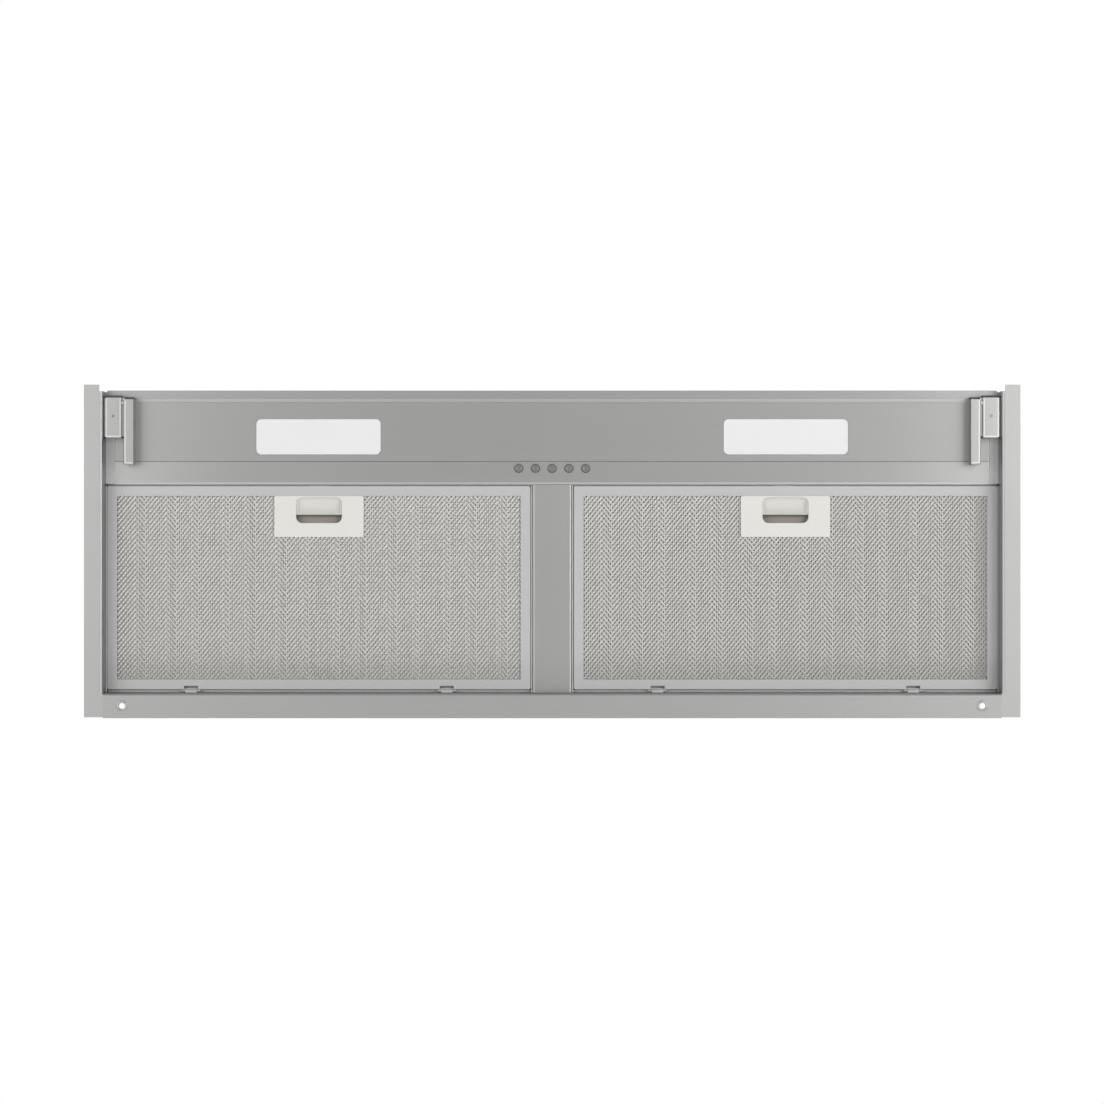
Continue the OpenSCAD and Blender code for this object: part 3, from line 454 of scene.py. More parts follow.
@dataclass(frozen=True)
class Finish:
    """One finish of the hood: a shared effect, its values and the shader's own sockets."""

    name: str
    slot: str
    colour: Colour
    surface: Surface = Surface.SKIN
    metallic: float = 0.0
    roughness: float = 0.4
    contrast: float = 0.06
    size: float = 1400.0
    stretch: tuple[float, float, float] = (6.0, 900.0, 900.0)
    smudge: float = 0.04
    bump: float = 0.05
    bump_depth: float = 0.0001
    dust: float = 0.0
    # Strength of the painted sheen towards both ends in X.
    ends: float = 0.0

    def material(self) -> bpy.types.Material:
        """Builds the material, once for each finish.

        Returns:
            The material.
        """
        known = bpy.data.materials.get("finish_" + self.name)
        if known:
            return known
        made = bpy.data.materials.new("finish_" + self.name)
        made.use_nodes = True
        made.node_tree.nodes.clear()
        bench = NodeBench(made.node_tree)
        shader = bench.add("BsdfPrincipled")
        bench.join(shader.outputs[0], bench.add("OutputMaterial").inputs[0])
        self.dress(bench, shader)
        return made

    def effect(self, bench: NodeBench) -> bpy.types.Node:
        """Places the shared effect in a material with this finish's values.

        Args:
            bench: the material's bench.

        Returns:
            The group node.
        """
        build = {Surface.GRAIN: GroupKit.rolled_grain, Surface.SPANGLE: GroupKit.spangle,
                 Surface.SKIN: GroupKit.moulded_skin}[self.surface]
        group = bench.add("Group", node_tree=build())
        group.inputs["Colour"].default_value = (*self.colour, 1)
        group.inputs["Contrast"].default_value = self.contrast
        group.inputs["Roughness"].default_value = self.roughness
        if self.surface is Surface.GRAIN:
            group.inputs["Stretch"].default_value = self.stretch
            group.inputs["Smudge"].default_value = self.smudge
            group.inputs["Ends"].default_value = self.ends
        else:
            group.inputs["Size"].default_value = self.size
        return group

    def dress(self, bench: NodeBench, shader: bpy.types.Node) -> None:
        """Wires the finish into its shader.

        Args:
            bench: the material's bench.
            shader: its Principled BSDF.
        """
        group = self.effect(bench)
        colour, rough = group.outputs["Colour"], group.outputs["Roughness"]
        if self.dust:
            film = bench.add("Group", node_tree=GroupKit.settled_dust())
            bench.join(colour, film.inputs["Colour"])
            bench.join(rough, film.inputs["Roughness"])
            film.inputs["Amount"].default_value = self.dust
            colour, rough = film.outputs["Colour"], film.outputs["Roughness"]
        bench.join(colour, shader.inputs["Base Color"])
        bench.join(rough, shader.inputs["Roughness"])
        shader.inputs["Metallic"].default_value = self.metallic
        if self.bump:
            relief = bench.add("Bump")
            relief.inputs["Strength"].default_value = self.bump
            relief.inputs["Distance"].default_value = self.bump_depth
            bench.join(group.outputs["Height"], relief.inputs["Height"])
            bench.join(relief.outputs[0], shader.inputs["Normal"])


@dataclass(frozen=True)
class LensFinish(Finish):
    """Frosted lamp lens of pale plastic, less glossy than the other plastics."""

    specular: float = 0.4

    def dress(self, bench: NodeBench, shader: bpy.types.Node) -> None:
        """Wires the frosted lens, with its gloss on the shader's own socket."""
        super().dress(bench, shader)
        shader.inputs["Specular IOR Level"].default_value = self.specular


@dataclass(frozen=True)
class LaminationFinish(Finish):
    """Stacked iron sheets of a stator, cut across: fine rings along the shaft."""

    pitch: float = 900.0

    def dress(self, bench: NodeBench, shader: bpy.types.Node) -> None:
        """Wires the sheet edges as bands of tone along X.

        Args:
            bench: the material's bench.
            shader: its Principled BSDF.
        """
        super().dress(bench, shader)
        along = bench.split(bench.place())[0]
        wave = bench.maths("SINE", bench.maths("MULTIPLY", along, self.pitch * CYCLE))
        base = shader.inputs["Base Color"].links[0].from_socket
        bench.join(bench.shade(base, bench.ramp(wave, -1.0, 1.0, 0.75, 1.0)), shader.inputs["Base Color"])


@dataclass(frozen=True)
class BoardFinish(Finish):
    """Lacquered circuit board with copper tracks under the lacquer."""

    track: Colour = (0.09, 0.33, 0.16)
    rows: float = 90.0
    track_width: float = 0.06

    def dress(self, bench: NodeBench, shader: bpy.types.Node) -> None:
        """Wires the tracks as the joints of a brick pattern.

        Args:
            bench: the material's bench.
            shader: its Principled BSDF.
        """
        super().dress(bench, shader)
        cells = bench.add("TexBrick")
        bench.join(bench.place(), cells.inputs["Vector"])
        cells.inputs["Scale"].default_value = self.rows
        cells.inputs["Mortar Size"].default_value = self.track_width
        cells.inputs["Color1"].default_value = (0, 0, 0, 1)
        cells.inputs["Color2"].default_value = (0, 0, 0, 1)
        cells.inputs["Mortar"].default_value = (1, 1, 1, 1)
        base = shader.inputs["Base Color"].links[0].from_socket
        bench.join(bench.mix(cells.outputs["Color"], base, (*self.track, 1)),
                   shader.inputs["Base Color"])


@dataclass(frozen=True)
class CoreFinish(Finish):
    """Packed inner layers of a filter seen through its face: slanted bright strands over darker gaps, whose
    darkness is painted shade.
    """

    pitch: tuple[float, float] = (0.0038, 0.0046)

    def dress(self, bench: NodeBench, shader: bpy.types.Node) -> None:
        """Wires two crossing stripe patterns that stand for the strands behind the face.

        Args:
            bench: the material's bench.
            shader: its Principled BSDF.
        """
        super().dress(bench, shader)
        parts = bench.split(bench.place())
        across = bench.maths("MULTIPLY", parts[0], CYCLE / self.pitch[0])
        down = bench.maths("MULTIPLY", parts[1], CYCLE / self.pitch[1])
        rising = bench.maths("SINE", bench.maths("ADD", across, down))
        falling = bench.maths("SINE", bench.maths("SUBTRACT", across, down))
        # Painted shade: the tone falls to 0.6 between the stripes, for the shade in the gaps between the
        # strands behind the face.
        strand = bench.ramp(bench.maths("MAXIMUM", rising, falling), -0.2, 0.9, 0.6, 1.0)
        base = shader.inputs["Base Color"].links[0].from_socket
        bench.join(bench.shade(base, strand), shader.inputs["Base Color"])


# The modelling bench: new meshes shaped with Blender's own operators.


class Workpiece:
    """A new mesh, shaped with the modelling operators and then handed over to a body."""

    def __init__(self, obj: bpy.types.Object, name: str) -> None:
        """Takes a freshly added object, puts its place into its mesh and names it.

        Args:
            obj: the new object.
            name: the piece's name.
        """
        self.obj = obj
        self.rename(name)
        bpy.ops.object.transform_apply(location=True, rotation=True, scale=True)

    def rename(self, name: str) -> None:
        """Names the object and its mesh."""
        self.obj.name = name
        self.obj.data.name = name

    def discard(self) -> None:
        """Removes the piece from the scene."""
        bpy.data.objects.remove(self.obj, do_unlink=True)

    @staticmethod
    def clear() -> None:
        """Leaves edit mode and deselects every object."""
        if bpy.context.object and bpy.context.object.mode != "OBJECT":
            bpy.ops.object.mode_set(mode="OBJECT")
        bpy.ops.object.select_all(action="DESELECT")

    @classmethod
    def take_up(cls, obj: bpy.types.Object) -> None:
        """Makes one object the only selected one and the active one.

        Args:
            obj: the object.
        """
        cls.clear()
        obj.select_set(True)
        bpy.context.view_layer.objects.active = obj

    @staticmethod
    def face_outward() -> None:
        """Turns every face outwards, in edit mode."""
        bpy.ops.mesh.select_all(action="SELECT")
        bpy.ops.mesh.normals_make_consistent(inside=False)

    @classmethod
    def block(cls, name: str, low: Point, high: Point) -> "Workpiece":
        """Adds a box between two corners.

        Args:
            name: the piece's name.
            low: the corner with the lower X, Y and Z.
            high: the opposite corner.

        Returns:
            The box.
        """
        cls.clear()
        middle = [(a + b) / 2 for a, b in zip(low, high)]
        size = [b - a for a, b in zip(low, high)]
        bpy.ops.mesh.primitive_cube_add(size=1.0, location=middle, scale=size)
        return cls(bpy.context.object, name)

    @classmethod
    def drum(cls, name: str, middle: Point, radius: float, depth: float, axis: Axis = Axis.Z,
             sides: int = 32) -> "Workpiece":
        """Adds a cylinder about an axis of the frame.

        Args:
            name: the piece's name.
            middle: its centre.
            radius: its radius.
            depth: its length along the axis.
            axis: the axis.
            sides: how many sides the round gets.

        Returns:
            The cylinder.
        """
        cls.clear()
        turn = {Axis.X: (0, math.pi / 2, 0), Axis.Y: (math.pi / 2, 0, 0), Axis.Z: (0, 0, 0)}[axis]
        bpy.ops.mesh.primitive_cylinder_add(vertices=sides, radius=radius, depth=depth,
                                            location=middle, rotation=turn)
        return cls(bpy.context.object, name)

    @classmethod
    def path(cls, name: str, points: Sequence[Point], closed: bool = True) -> "Workpiece":
        """Draws a line through points by extruding one vertex, and fills it if it is closed.

        Args:
            name: the piece's name.
            points: the corners, in order.
            closed: whether the line bounds a face.

        Returns:
            The new piece, a face or an open line.
        """
        cls.clear()
        bpy.ops.mesh.primitive_plane_add(size=MM, location=points[0])
        piece = cls(bpy.context.object, name)
        bpy.ops.object.mode_set(mode="EDIT")
        bpy.ops.mesh.select_mode(type="VERT")
        bpy.ops.mesh.select_all(action="SELECT")
        bpy.ops.mesh.merge(type="CENTER")
        for start, end in zip(points, points[1:]):
            step = tuple(b - a for a, b in zip(start, end))
            bpy.ops.mesh.extrude_vertices_move(TRANSFORM_OT_translate={"value": step})
        if closed:
            bpy.ops.mesh.select_all(action="SELECT")
            bpy.ops.mesh.edge_face_add()
        bpy.ops.object.mode_set(mode="OBJECT")
        return piece

    @classmethod
    def bar(cls, name: str, section: Sequence[tuple[float, float]], axis: Axis, start: float,
            end: float) -> "Workpiece":
        """Draws a flat section and extrudes it along an axis.

        Args:
            name: the piece's name.
            section: its corners in the two other directions, in the order X, Y, Z.
            axis: the direction to extrude in.
            start: where the bar starts along it.
            end: where it ends.

        Returns:
            The closed bar.
        """
        place = {Axis.X: lambda a, b: (start, a, b), Axis.Y: lambda a, b: (a, start, b),
                 Axis.Z: lambda a, b: (a, b, start)}[axis]
        piece = cls.path(name, [place(a, b) for a, b in section])
        move = tuple(v * (end - start) for v in axis.value)
        with piece.editing():
            bpy.ops.mesh.select_all(action="SELECT")
            bpy.ops.mesh.extrude_region_move(TRANSFORM_OT_translate={"value": move})
            cls.face_outward()
        return piece

    @classmethod
    def lathe(cls, name: str, profile: Sequence[tuple[float, float]], middle: Point,
              axis: Axis = Axis.Z, steps: int = 32) -> "Workpiece":
        """Draws a half section and spins it about an axis.

        Args:
            name: the piece's name.
            profile: radius and height of each corner.
            middle: the point on the axis where height is 0.
            axis: the axis to spin about.
            steps: how many sides the round gets.

        Returns:
            The closed round piece.
        """
        place = {Axis.X: lambda r, h: (h, 0.0, r), Axis.Y: lambda r, h: (0.0, h, r),
                 Axis.Z: lambda r, h: (r, 0.0, h)}[axis]
        spots = [tuple(a + b for a, b in zip(middle, place(r, h))) for r, h in profile]
        piece = cls.path(name, spots, closed=False)
        with piece.editing():
            bpy.ops.mesh.select_all(action="SELECT")
            bpy.ops.mesh.spin(steps=steps, angle=2 * math.pi, center=middle, axis=axis.value)
            bpy.ops.mesh.select_all(action="SELECT")
            bpy.ops.mesh.remove_doubles(threshold=NEAR)
            cls.face_outward()
        return piece

    def editing(self) -> "EditSession":
        """Opens edit mode for a with statement."""
        return EditSession(self.obj)

    def pick(self, test: Callable[[Vector, Vector], bool], part: Part = Part.FACE) -> int:
        """Selects what passes a test, in edit mode.

        Args:
            test: gets the middle and the normal, or for an edge the middle and the direction.
            part: what to select.

        Returns:
            How many were selected.
        """
        bpy.ops.mesh.select_mode(type=part.value)
        bpy.ops.mesh.select_all(action="DESELECT")
        mesh = bmesh.from_edit_mesh(self.obj.data)
        if part is Part.VERT:
            found = [v for v in mesh.verts if test(v.co, v.normal)]
        elif part is Part.EDGE:
            found = [e for e in mesh.edges
                     if test((e.verts[0].co + e.verts[1].co) / 2,
                             (e.verts[1].co - e.verts[0].co).normalized())]
        else:
            found = [f for f in mesh.faces if test(f.calc_center_median(), f.normal)]
        for item in found:
            item.select_set(True)
        mesh.select_flush_mode()
        bmesh.update_edit_mesh(self.obj.data)
        return len(found)

    def delete_loose_parts(self, test: Callable[[Vector, Vector], bool]) -> None:
        """Deletes every loose part of the mesh that has a vertex passing a test.

        Args:
            test: gets a vertex's place and normal.
        """
        with self.editing():
            self.pick(test, Part.VERT)
            bpy.ops.mesh.select_linked()
            bpy.ops.mesh.delete(type="VERT")

    def round_edges(self, test: Callable[[Vector, Vector], bool], width: float,
                    segments: int = 3) -> None:
        """Bevels the edges that pass a test.

        Args:
            test: gets an edge's middle and direction.
            width: the bevel's width.
            segments: how many faces it gets.
        """
        with self.editing():
            if self.pick(test, Part.EDGE):
                bpy.ops.mesh.bevel(offset=width, offset_type="OFFSET", segments=segments,
                                   affect="EDGES", clamp_overlap=True)

    def soften(self, width: float, segments: int = 2, angle: float = 40.0) -> None:
        """Bevels every sharp edge with a modifier that is applied."""
        self.modify("BEVEL", width=width, segments=segments, limit_method="ANGLE",
                    angle_limit=math.radians(angle), harden_normals=False)

    def modify(self, kind: str, **values: object) -> None:
        """Adds a modifier and applies it.

        Args:
            kind: the modifier's type.
            values: properties of the modifier to set.
        """
        self.take_up(self.obj)
        added = self.obj.modifiers.new(kind.title(), kind)
        for name, value in values.items():
            setattr(added, name, value)
        bpy.ops.object.modifier_apply(modifier=added.name)

    def carve(self, cutter: "Workpiece") -> None:
        """Subtracts another piece, which is used up."""
        self.modify("BOOLEAN", operation="DIFFERENCE", solver="EXACT", object=cutter.obj)
        cutter.discard()

    def twin(self, name: str, move: Matrix) -> "Workpiece":
        """Copies the piece with a mesh of its own, moved by a matrix.

        Args:
            name: the copy's name.
            move: where it goes.

        Returns:
            The copy, with its normals outward.
        """
        self.clear()
        copy = self.obj.copy()
        copy.data = self.obj.data.copy()
        bpy.context.scene.collection.objects.link(copy)
        self.take_up(copy)
        copy.matrix_world = move
        piece = Workpiece(copy, name)
        if move.determinant() < 0:
            with piece.editing():
                self.face_outward()
        return piece

    def join(self, others: Iterable["Workpiece"]) -> "Workpiece":
        """Joins other pieces into this one.

        Args:
            others: the pieces to take in.

        Returns:
            This piece.
        """
        self.take_up(self.obj)
        for other in others:
            other.obj.select_set(True)
        bpy.ops.object.join()
        return self

    @staticmethod
    def merged(name: str, pieces: Sequence["Workpiece"]) -> "Workpiece":
        """Joins pieces into one under a new name.

        Args:
            name: the new name.
            pieces: the pieces, the first of which takes in the others.

        Returns:
            The one piece.
        """
        whole = pieces[0].join(pieces[1:])
        whole.rename(name)
        return whole

    def hand_over(self, body: str, finish: Finish, replaces: Iterable[str] = (),
                  angle: float = 35.0, level: bool = True) -> bpy.types.Object:
        """Shades the piece, gives it its finish and lets it ride on a body.

        Args:
            body: the CAD body that carries it.
            finish: its finish.
            replaces: the CAD nodes that it stands for.
            angle: edges up to this many degrees are shaded smooth.
            level: whether large faces keep their own normals beside small bevels.

        Returns:
            The finished object.
        """
        self.take_up(self.obj)
        bpy.ops.object.shade_smooth_by_angle(angle=math.radians(angle))
        if level:
            self.modify("WEIGHTED_NORMAL", keep_sharp=True, weight=80)
        self.obj.data.materials.clear()
        self.obj.data.materials.append(finish.material())
        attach(self.obj, body)
        if replaces:
            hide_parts(*replaces)
        return self.obj


class EditSession:
    """Edit mode on one object, for a with statement."""

    def __init__(self, obj: bpy.types.Object) -> None:
        """Takes the object to edit."""
        self.obj = obj

    def __enter__(self) -> None:
        """Selects only the object and enters edit mode."""
        Workpiece.take_up(self.obj)
        bpy.ops.object.mode_set(mode="EDIT")
        bpy.ops.mesh.select_mode(type="VERT")

    def __exit__(self, *problem: object) -> None:
        """Leaves edit mode."""
        bpy.ops.object.mode_set(mode="OBJECT")


def shift(x: float = 0.0, y: float = 0.0, z: float = 0.0) -> Matrix:
    """A move by three lengths."""
    return Matrix.Translation((x, y, z))


def arc(middle: tuple[float, float], radius: float, start: float, end: float,
        steps: int) -> list[tuple[float, float]]:
    """Points along an arc.

    Args:
        middle: its centre.
        radius: its radius.
        start: its first angle in degrees.
        end: its last angle in degrees.
        steps: how many stretches it has.

    Returns:
        The points, both ends included.
    """
    turns = [math.radians(start + (end - start) * i / steps) for i in range(steps + 1)]
    return [(middle[0] + radius * math.cos(t), middle[1] + radius * math.sin(t)) for t in turns]


def rounded(width: float, depth: float, radius: float, middle: tuple[float, float] = (0.0, 0.0),
            steps: int = 6) -> list[tuple[float, float]]:
    """Corners of a rounded rectangle, anticlockwise.

    Args:
        width: its size in the first direction.
        depth: its size in the second.
        radius: its corner radius.
        middle: its centre.
        steps: stretches a corner.

    Returns:
        The points.
    """
    x, y = width / 2 - radius, depth / 2 - radius
    spots: list[tuple[float, float]] = []
    for turn, (sx, sy) in enumerate(((1, 1), (-1, 1), (-1, -1), (1, -1))):
        spots += arc((middle[0] + sx * x, middle[1] + sy * y), radius, turn * 90, turn * 90 + 90, steps)
    return spots


# The studio: camera, floor, lamps and world.


@dataclass
class Softbox:
    """One soft lamp of the studio."""

    name: str
    place: tuple[float, float, float]
    width: float
    height: float
    power: float
    aim: tuple[float, float, float] = (0.0, 0.0, 0.1)

    def build(self) -> None:
        """Adds the lamp, turned to its aim."""
        light = bpy.data.lights.new(self.name, "AREA")
        light.shape = "RECTANGLE"
        light.size = self.width
        light.size_y = self.height
        light.energy = self.power
        holder = bpy.data.objects.new(self.name, light)
        bpy.context.scene.collection.objects.link(holder)
        holder.location = self.place
        look = Vector(self.aim) - Vector(self.place)
        holder.rotation_euler = look.to_track_quat("-Z", "Y").to_euler()
        holder.visible_camera = False


@dataclass
class Studio:
    """Camera straight below the hood, pale floor under the camera, soft lamps and a white world."""

    distance: float = 2.8
    view_width: float = 0.943
    aim: tuple[float, float] = (-0.00017, 0.0005)
    floor_z: float = -3.4
    world_strength: float = 0.50
    floor_tone: float = 0.62
    lamps: list[Softbox] = field(default_factory=lambda: [
        Softbox("softbox_left", (-1.75, -0.35, -2.1), 1.3, 2.0, 25.0),
        Softbox("softbox_right", (1.7, -0.35, -2.1), 1.3, 2.0, 34.0),
        Softbox("softbox_rear", (0.0, 2.4, -1.5), 2.6, 0.8, 18.0),
    ])

    def build(self) -> None:
        """Builds the camera, the floor, the lamps and the world."""
        self.build_camera()
        self.build_floor()
        for lamp in self.lamps:
            lamp.build()
        self.build_world()
        bpy.context.scene.view_settings.view_transform = "Standard"

    def build_camera(self) -> None:
        """Adds the camera, looking straight up with the hood's front at the top of the image."""
        lens = bpy.data.cameras.new("photo_camera")
        lens.sensor_width = 36.0
        lens.lens = 36.0 * self.distance / self.view_width
        lens.clip_end = 60.0
        holder = bpy.data.objects.new("photo_camera", lens)
        bpy.context.scene.collection.objects.link(holder)
        holder.location = (self.aim[0], self.aim[1], -self.distance)
        holder.rotation_euler = (math.pi, 0, 0)
        bpy.context.scene.camera = holder

    @staticmethod
    def seen_directly(bench: NodeBench) -> bpy.types.NodeSocket:
        """Makes a mask that is 1 for camera, glossy and transmission rays.

        Args:
            bench: the bench of the material or world.

        Returns:
            The mask.
        """
        path = bench.add("LightPath")
        glossy = bench.maths("MAXIMUM", path.outputs["Is Camera Ray"], path.outputs["Is Glossy Ray"])
        return bench.maths("MAXIMUM", glossy, path.outputs["Is Transmission Ray"])

    def build_floor(self) -> None:
        """Adds the pale floor below the camera; straight views of it are lifted to near white."""
        Workpiece.clear()
        bpy.ops.mesh.primitive_plane_add(size=24.0, location=(0, 0, self.floor_z))
        floor = bpy.context.object
        floor.name = "studio_floor"
        made = bpy.data.materials.new("studio_floor")
        made.use_nodes = True
        bench = NodeBench(made.node_tree)
        made.node_tree.nodes.clear()
        tone = self.floor_tone
        shade = bench.add("BsdfPrincipled")
        cloud = bench.noise(bench.add("TexCoord").outputs["Object"], 0.6, 2.0)
        bench.join(bench.mix(bench.ramp(cloud, 0.3, 0.7), (tone, tone, tone, 1),
                             (tone * 1.03, tone * 1.03, tone * 1.03, 1)), shade.inputs["Base Color"])
        shade.inputs["Roughness"].default_value = 0.9
        white = bench.add("Emission")
        white.inputs[0].default_value = (1, 1, 1, 1)
        blend = bench.add("MixShader")
        bench.join(bench.maths("MULTIPLY", self.seen_directly(bench), 0.85), blend.inputs[0])
        bench.join(shade.outputs[0], blend.inputs[1])
        bench.join(white.outputs[0], blend.inputs[2])
        bench.join(blend.outputs[0], bench.add("OutputMaterial").inputs[0])
        floor.data.materials.append(made)
        floor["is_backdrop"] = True

    def build_world(self) -> None:
        """Makes the world white where it is seen or mirrored, and a level soft light otherwise."""
        world = bpy.data.worlds.new("studio")
        world.use_nodes = True
        bench = NodeBench(world.node_tree)
        world.node_tree.nodes.clear()
        lit, white = bench.add("Background"), bench.add("Background")
        lit.inputs[1].default_value = self.world_strength
        for background in (lit, white):
            background.inputs[0].default_value = (1, 1, 1, 1)
        blend = bench.add("MixShader")
        bench.join(self.seen_directly(bench), blend.inputs[0])
        bench.join(lit.outputs[0], blend.inputs[1])
        bench.join(white.outputs[0], blend.inputs[2])
        bench.join(blend.outputs[0], bench.add("OutputWorld").inputs[0])
        bpy.context.scene.world = world


# The finishes of the hood's own sheets, plastics and small parts.

# STEEL paints a faint sheen towards both ends in X through its ends value, and STEEL_STRIP a stronger one.
STEEL = Finish("brushed_steel", "brushed_steel", (0.259, 0.259, 0.256), Surface.GRAIN, metallic=1.0,
               roughness=0.42, contrast=0.05, stretch=(5.0, 1100.0, 1100.0), smudge=0.03, bump=0.12,
               bump_depth=0.00004, ends=0.15)
STEEL_STRIP = replace(STEEL, name="strip_steel", ends=0.35)
# STEEL_REAR, STEEL_RAIL and STEEL_MULLION are lighter and darker tones of the same brushed steel: painted
# light and shade on the rear rail, the side rails and the mullion. The rails and the mullion also have
# their grain along Y.
STEEL_REAR = replace(STEEL, name="rear_steel", colour=(0.298, 0.298, 0.295), ends=0.0)
STEEL_RAIL = replace(STEEL, name="rail_steel", colour=(0.316, 0.316, 0.313),
                     stretch=(1100.0, 5.0, 1100.0), ends=0.0)
STEEL_MULLION = replace(STEEL_RAIL, name="mullion_steel", colour=(0.281, 0.281, 0.277))
# A lighter copy of the rail steel: painted highlight on the bead along the control strip's hem.
HEM_HIGHLIGHT_STEEL = replace(STEEL_RAIL, name="bead_steel", colour=(0.36, 0.36, 0.357))
FOLDED = Finish("folded_steel", "folded_steel", (0.303, 0.303, 0.299), Surface.GRAIN, metallic=1.0,
                roughness=0.30, contrast=0.04, stretch=(900.0, 12.0, 900.0), smudge=0.03)
# A lighter copy of the folded steel, only for the painted highlights along the bracket's bends.
BEND_HIGHLIGHT = replace(FOLDED, name="worn_bend", colour=(0.455, 0.455, 0.446), smudge=0.04)
GALVANISED = Finish("galvanised_sheet", "galvanised_sheet", (0.46, 0.47, 0.48), Surface.SPANGLE,
                    metallic=0.75, roughness=0.42, contrast=0.14, size=95.0, bump=0.06, dust=0.25)
LENS = LensFinish("lamp_lens", "lamp_lens", (0.835, 0.825, 0.83), roughness=0.32, contrast=0.02,
                  size=2600.0, bump=0.05)
WHITE = Finish("white_plastic", "white_plastic", (0.75, 0.75, 0.74), roughness=0.4, dust=0.15)
CREAM = Finish("cream_plastic", "cream_plastic", (0.74, 0.735, 0.69), roughness=0.42, contrast=0.03,
               bump=0.08)
LATCH = replace(CREAM, name="latch_plastic", colour=(0.655, 0.65, 0.605))
# Dark brown strip behind the latch paddle: painted shade under its rear edge.
PADDLE_SHADE = Finish("latch_return", "cream_plastic", (0.11, 0.10, 0.085), roughness=0.6, contrast=0.05)
# Dark brown-grey film on the pocket's ceiling and rear wall: painted shade in the latch pocket.
POCKET_SHADE_FILM = replace(PADDLE_SHADE, name="finger_liner", colour=(0.325, 0.30, 0.258))
# Near-black finish of the strip in the panel joint: painted shade of the crease.
SHADOW = Finish("joint_seal", "dark_plastic", (0.06, 0.06, 0.06), roughness=0.6, contrast=0.1)
DARK = Finish("dark_plastic", "dark_plastic", (0.045, 0.045, 0.05), roughness=0.45, contrast=0.2,
              bump=0.12, dust=0.25)
BLACK = Finish("black_plastic", "black_plastic", (0.02, 0.02, 0.02), roughness=0.5, dust=0.2)
FLAP = Finish("flap_plastic", "flap_plastic", (0.55, 0.55, 0.56), roughness=0.45, dust=0.2)
LED = Finish("led_board", "led_board", (0.80, 0.80, 0.76), roughness=0.5)
BOARD = BoardFinish("circuit_board", "circuit_board", (0.03, 0.16, 0.07), roughness=0.3)
RIM = Finish("filter_aluminium", "filter_aluminium", (0.452, 0.452, 0.452), Surface.GRAIN, metallic=0.35,
             roughness=0.5, contrast=0.04, stretch=(12.0, 700.0, 700.0), smudge=0.03)
# A lighter copy of RIM: painted light on the end strips, lifting the shade beside the side walls.
STRIP_END_LIT = replace(RIM, name="end_aluminium", colour=(0.51, 0.51, 0.51))
STRAND = Finish("filter_strand", "filter_mesh", (0.568, 0.554, 0.535), Surface.GRAIN, metallic=0.6,
                roughness=0.40, contrast=0.08, stretch=(400.0, 400.0, 400.0), bump=0.0)
CORE = CoreFinish("filter_core", "filter_mesh", (0.60, 0.582, 0.561), Surface.GRAIN, metallic=0.3,
                  roughness=0.55, contrast=0.1, stretch=(300.0, 300.0, 300.0), bump=0.0)
BUTTON = Finish("button_steel", "button_steel", (0.165, 0.165, 0.163), Surface.GRAIN, metallic=0.5,
                roughness=0.35, contrast=0.03, stretch=(500.0, 500.0, 500.0), bump=0.0)
SPRING = Finish("spring_steel", "spring_steel", (0.5, 0.5, 0.51), Surface.GRAIN, metallic=1.0,
                roughness=0.28, stretch=(300.0, 900.0, 300.0))
WHEEL = Finish("fan_sheet", "fan_sheet", (0.58, 0.59, 0.61), Surface.SPANGLE, metallic=0.8,
               roughness=0.4, size=140.0, dust=0.2)
MOTOR = LaminationFinish("motor_body", "motor_body", (0.24, 0.25, 0.27), Surface.GRAIN, metallic=0.7,
                         roughness=0.5, contrast=0.08, stretch=(200.0, 200.0, 200.0))
SCREW = Finish("screw_steel", "screw_steel", (0.62, 0.62, 0.60), Surface.GRAIN, metallic=1.0,
               roughness=0.28, stretch=(400.0, 400.0, 400.0), bump=0.0)


def dress(nodes: Iterable[str], finish: Finish) -> None:
    """Gives CAD nodes a finish in their own material slots.

    Args:
        nodes: names of CAD nodes.
        finish: the finish.
    """
    for name in nodes:
        mesh = frame["nodes"][name].data
        if not mesh.materials:
            mesh.materials.append(None)
        for index in range(len(mesh.materials)):
            mesh.materials[index] = finish.material()


